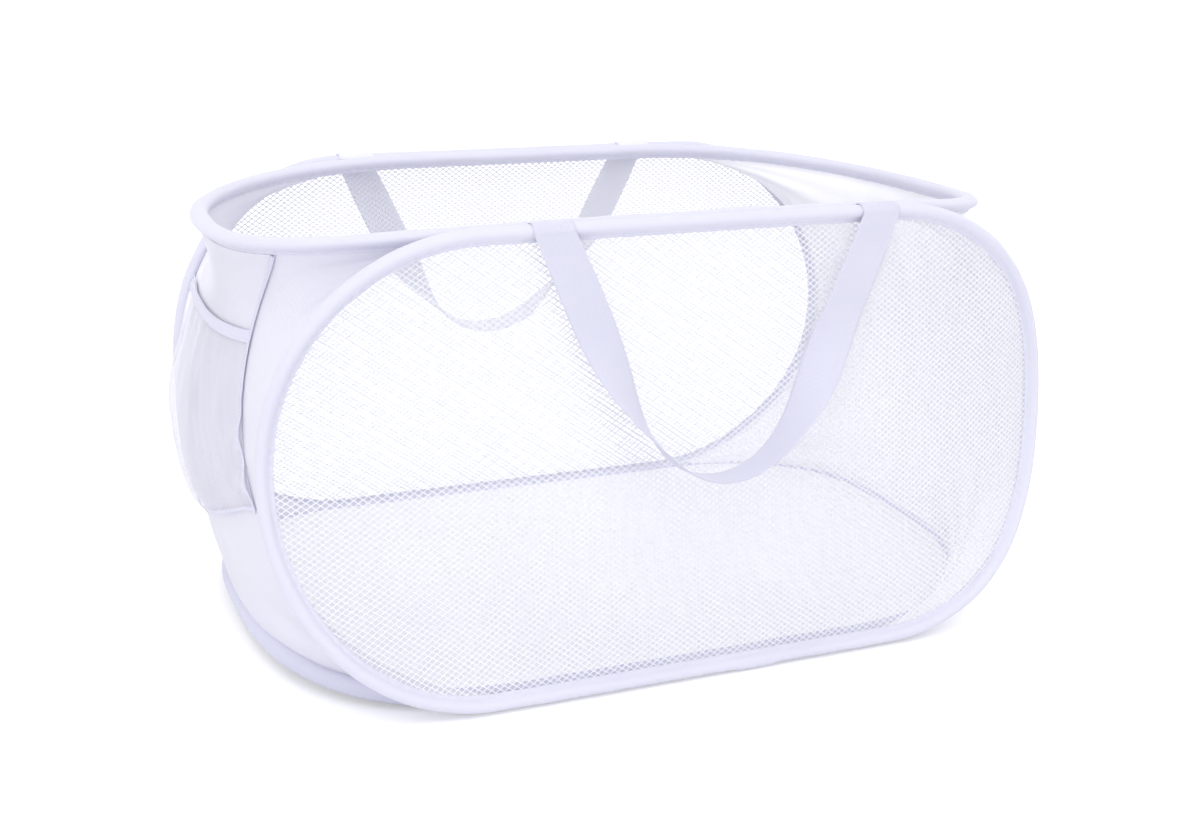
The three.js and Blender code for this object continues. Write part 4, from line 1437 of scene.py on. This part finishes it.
class HAMPER_OT_stage(bpy.types.Operator):
    """Floor, lamps, white surroundings and the camera"""

    bl_idname = "hamper.stage"
    bl_label = "Stage"

    def execute(self, context):
        settings = context.scene.hamper_stage
        bpy.ops.object.select_all(action="DESELECT")
        bpy.ops.mesh.primitive_plane_add(size=FLOOR_SIZE, location=(0, 0, 0))
        floor = context.object
        floor.name = "studio_floor"
        paint = Finish(
            "studio_floor", (), uv=False,
            Base_Color=(*settings.floor, 1), Roughness=FLOOR_ROUGHNESS,
        )
        surface = paint.tree.nodes["Material Output"].inputs["Surface"]
        paint.feed(surface, paint.glowing(paint.shader.outputs[0], FLOOR_GLOW))
        floor.data.materials.append(paint.material)

        world = bpy.data.worlds.new("studio")
        world.use_nodes = True
        context.scene.world = world
        nodes = Nodes(world.node_tree)
        sky = nodes.tree.nodes["Background"]
        sky.inputs["Color"].default_value = SKY_COLOUR
        sky.inputs["Strength"].default_value = settings.sky
        surface = nodes.tree.nodes["World Output"].inputs["Surface"]
        nodes.feed(surface, nodes.glowing(sky.outputs[0], SKY_GLOW))

        for name, place, aim, size, share in LAMPS:
            light = bpy.data.lights.new(name, "AREA")
            light.size, light.energy = size, settings.key * share
            lamp = bpy.data.objects.new(name, light)
            context.scene.collection.objects.link(lamp)
            lamp.location = place
            way = Vector(aim) - Vector(place)
            lamp.rotation_euler = way.to_track_quat("-Z", "Y").to_euler()

        data = bpy.data.cameras.new("camera")
        data.lens, data.sensor_width = CAMERA_LENS, SENSOR_WIDTH
        camera = bpy.data.objects.new("camera", data)
        context.scene.collection.objects.link(camera)
        yaw, pitch, roll = map(math.radians, (CAMERA_YAW, CAMERA_PITCH, CAMERA_ROLL))
        ahead = Vector((
            math.sin(yaw) * math.cos(pitch), math.cos(yaw) * math.cos(pitch), -math.sin(pitch)
        ))
        level_right = Vector((math.cos(yaw), -math.sin(yaw), 0))
        level_up = level_right.cross(ahead)
        right = level_right * math.cos(roll) + level_up * math.sin(roll)
        up = level_up * math.cos(roll) - level_right * math.sin(roll)
        turned = Matrix((right, up, -ahead)).transposed().to_4x4()
        camera.matrix_world = Matrix.Translation(CAMERA_PLACE) @ turned
        context.scene.camera = camera
        context.scene.view_settings.view_transform = "Standard"
        return {"FINISHED"}


# Running the steps

STEPS = ("stage", "sleeves", "nets", "base_cloth", "end_cloths", "pocket", "handles", "steel")
GROUPS = {
    "hamper_sleeves": HamperSleeves,
    "hamper_nets": HamperNets,
    "hamper_cloths": HamperCloths,
    "hamper_pocket": HamperPocket,
    "hamper_handles": HamperHandles,
    "hamper_stage": HamperStage,
}


class HAMPER_PT_panel(bpy.types.Panel):
    """Pieces of the hamper and their settings"""

    bl_idname = "HAMPER_PT_panel"
    bl_label = "Hamper"
    bl_space_type = "VIEW_3D"
    bl_region_type = "UI"
    bl_category = "Hamper"

    def draw(self, context):
        for name in STEPS:
            self.layout.operator(f"hamper.{name}")
        for name, group in GROUPS.items():
            box = self.layout.box()
            for key in group.__annotations__:
                box.prop(getattr(context.scene, name), key)


CLASSES = (
    *GROUPS.values(),
    HAMPER_OT_stage,
    HAMPER_OT_sleeves,
    HAMPER_OT_nets,
    HAMPER_OT_base_cloth,
    HAMPER_OT_end_cloths,
    HAMPER_OT_pocket,
    HAMPER_OT_handles,
    HAMPER_OT_steel,
    HAMPER_PT_panel,
)


def register():
    for cls in CLASSES:
        bpy.utils.register_class(cls)
    for name, group in GROUPS.items():
        setattr(bpy.types.Scene, name, PointerProperty(type=group))


def unregister():
    for name in GROUPS:
        delattr(bpy.types.Scene, name)
    for cls in reversed(CLASSES):
        bpy.utils.unregister_class(cls)


def main():
    """Builds every piece in order."""
    register()
    for name in STEPS:
        getattr(bpy.ops.hamper, name)()


if __name__ == "__main__":
    main()
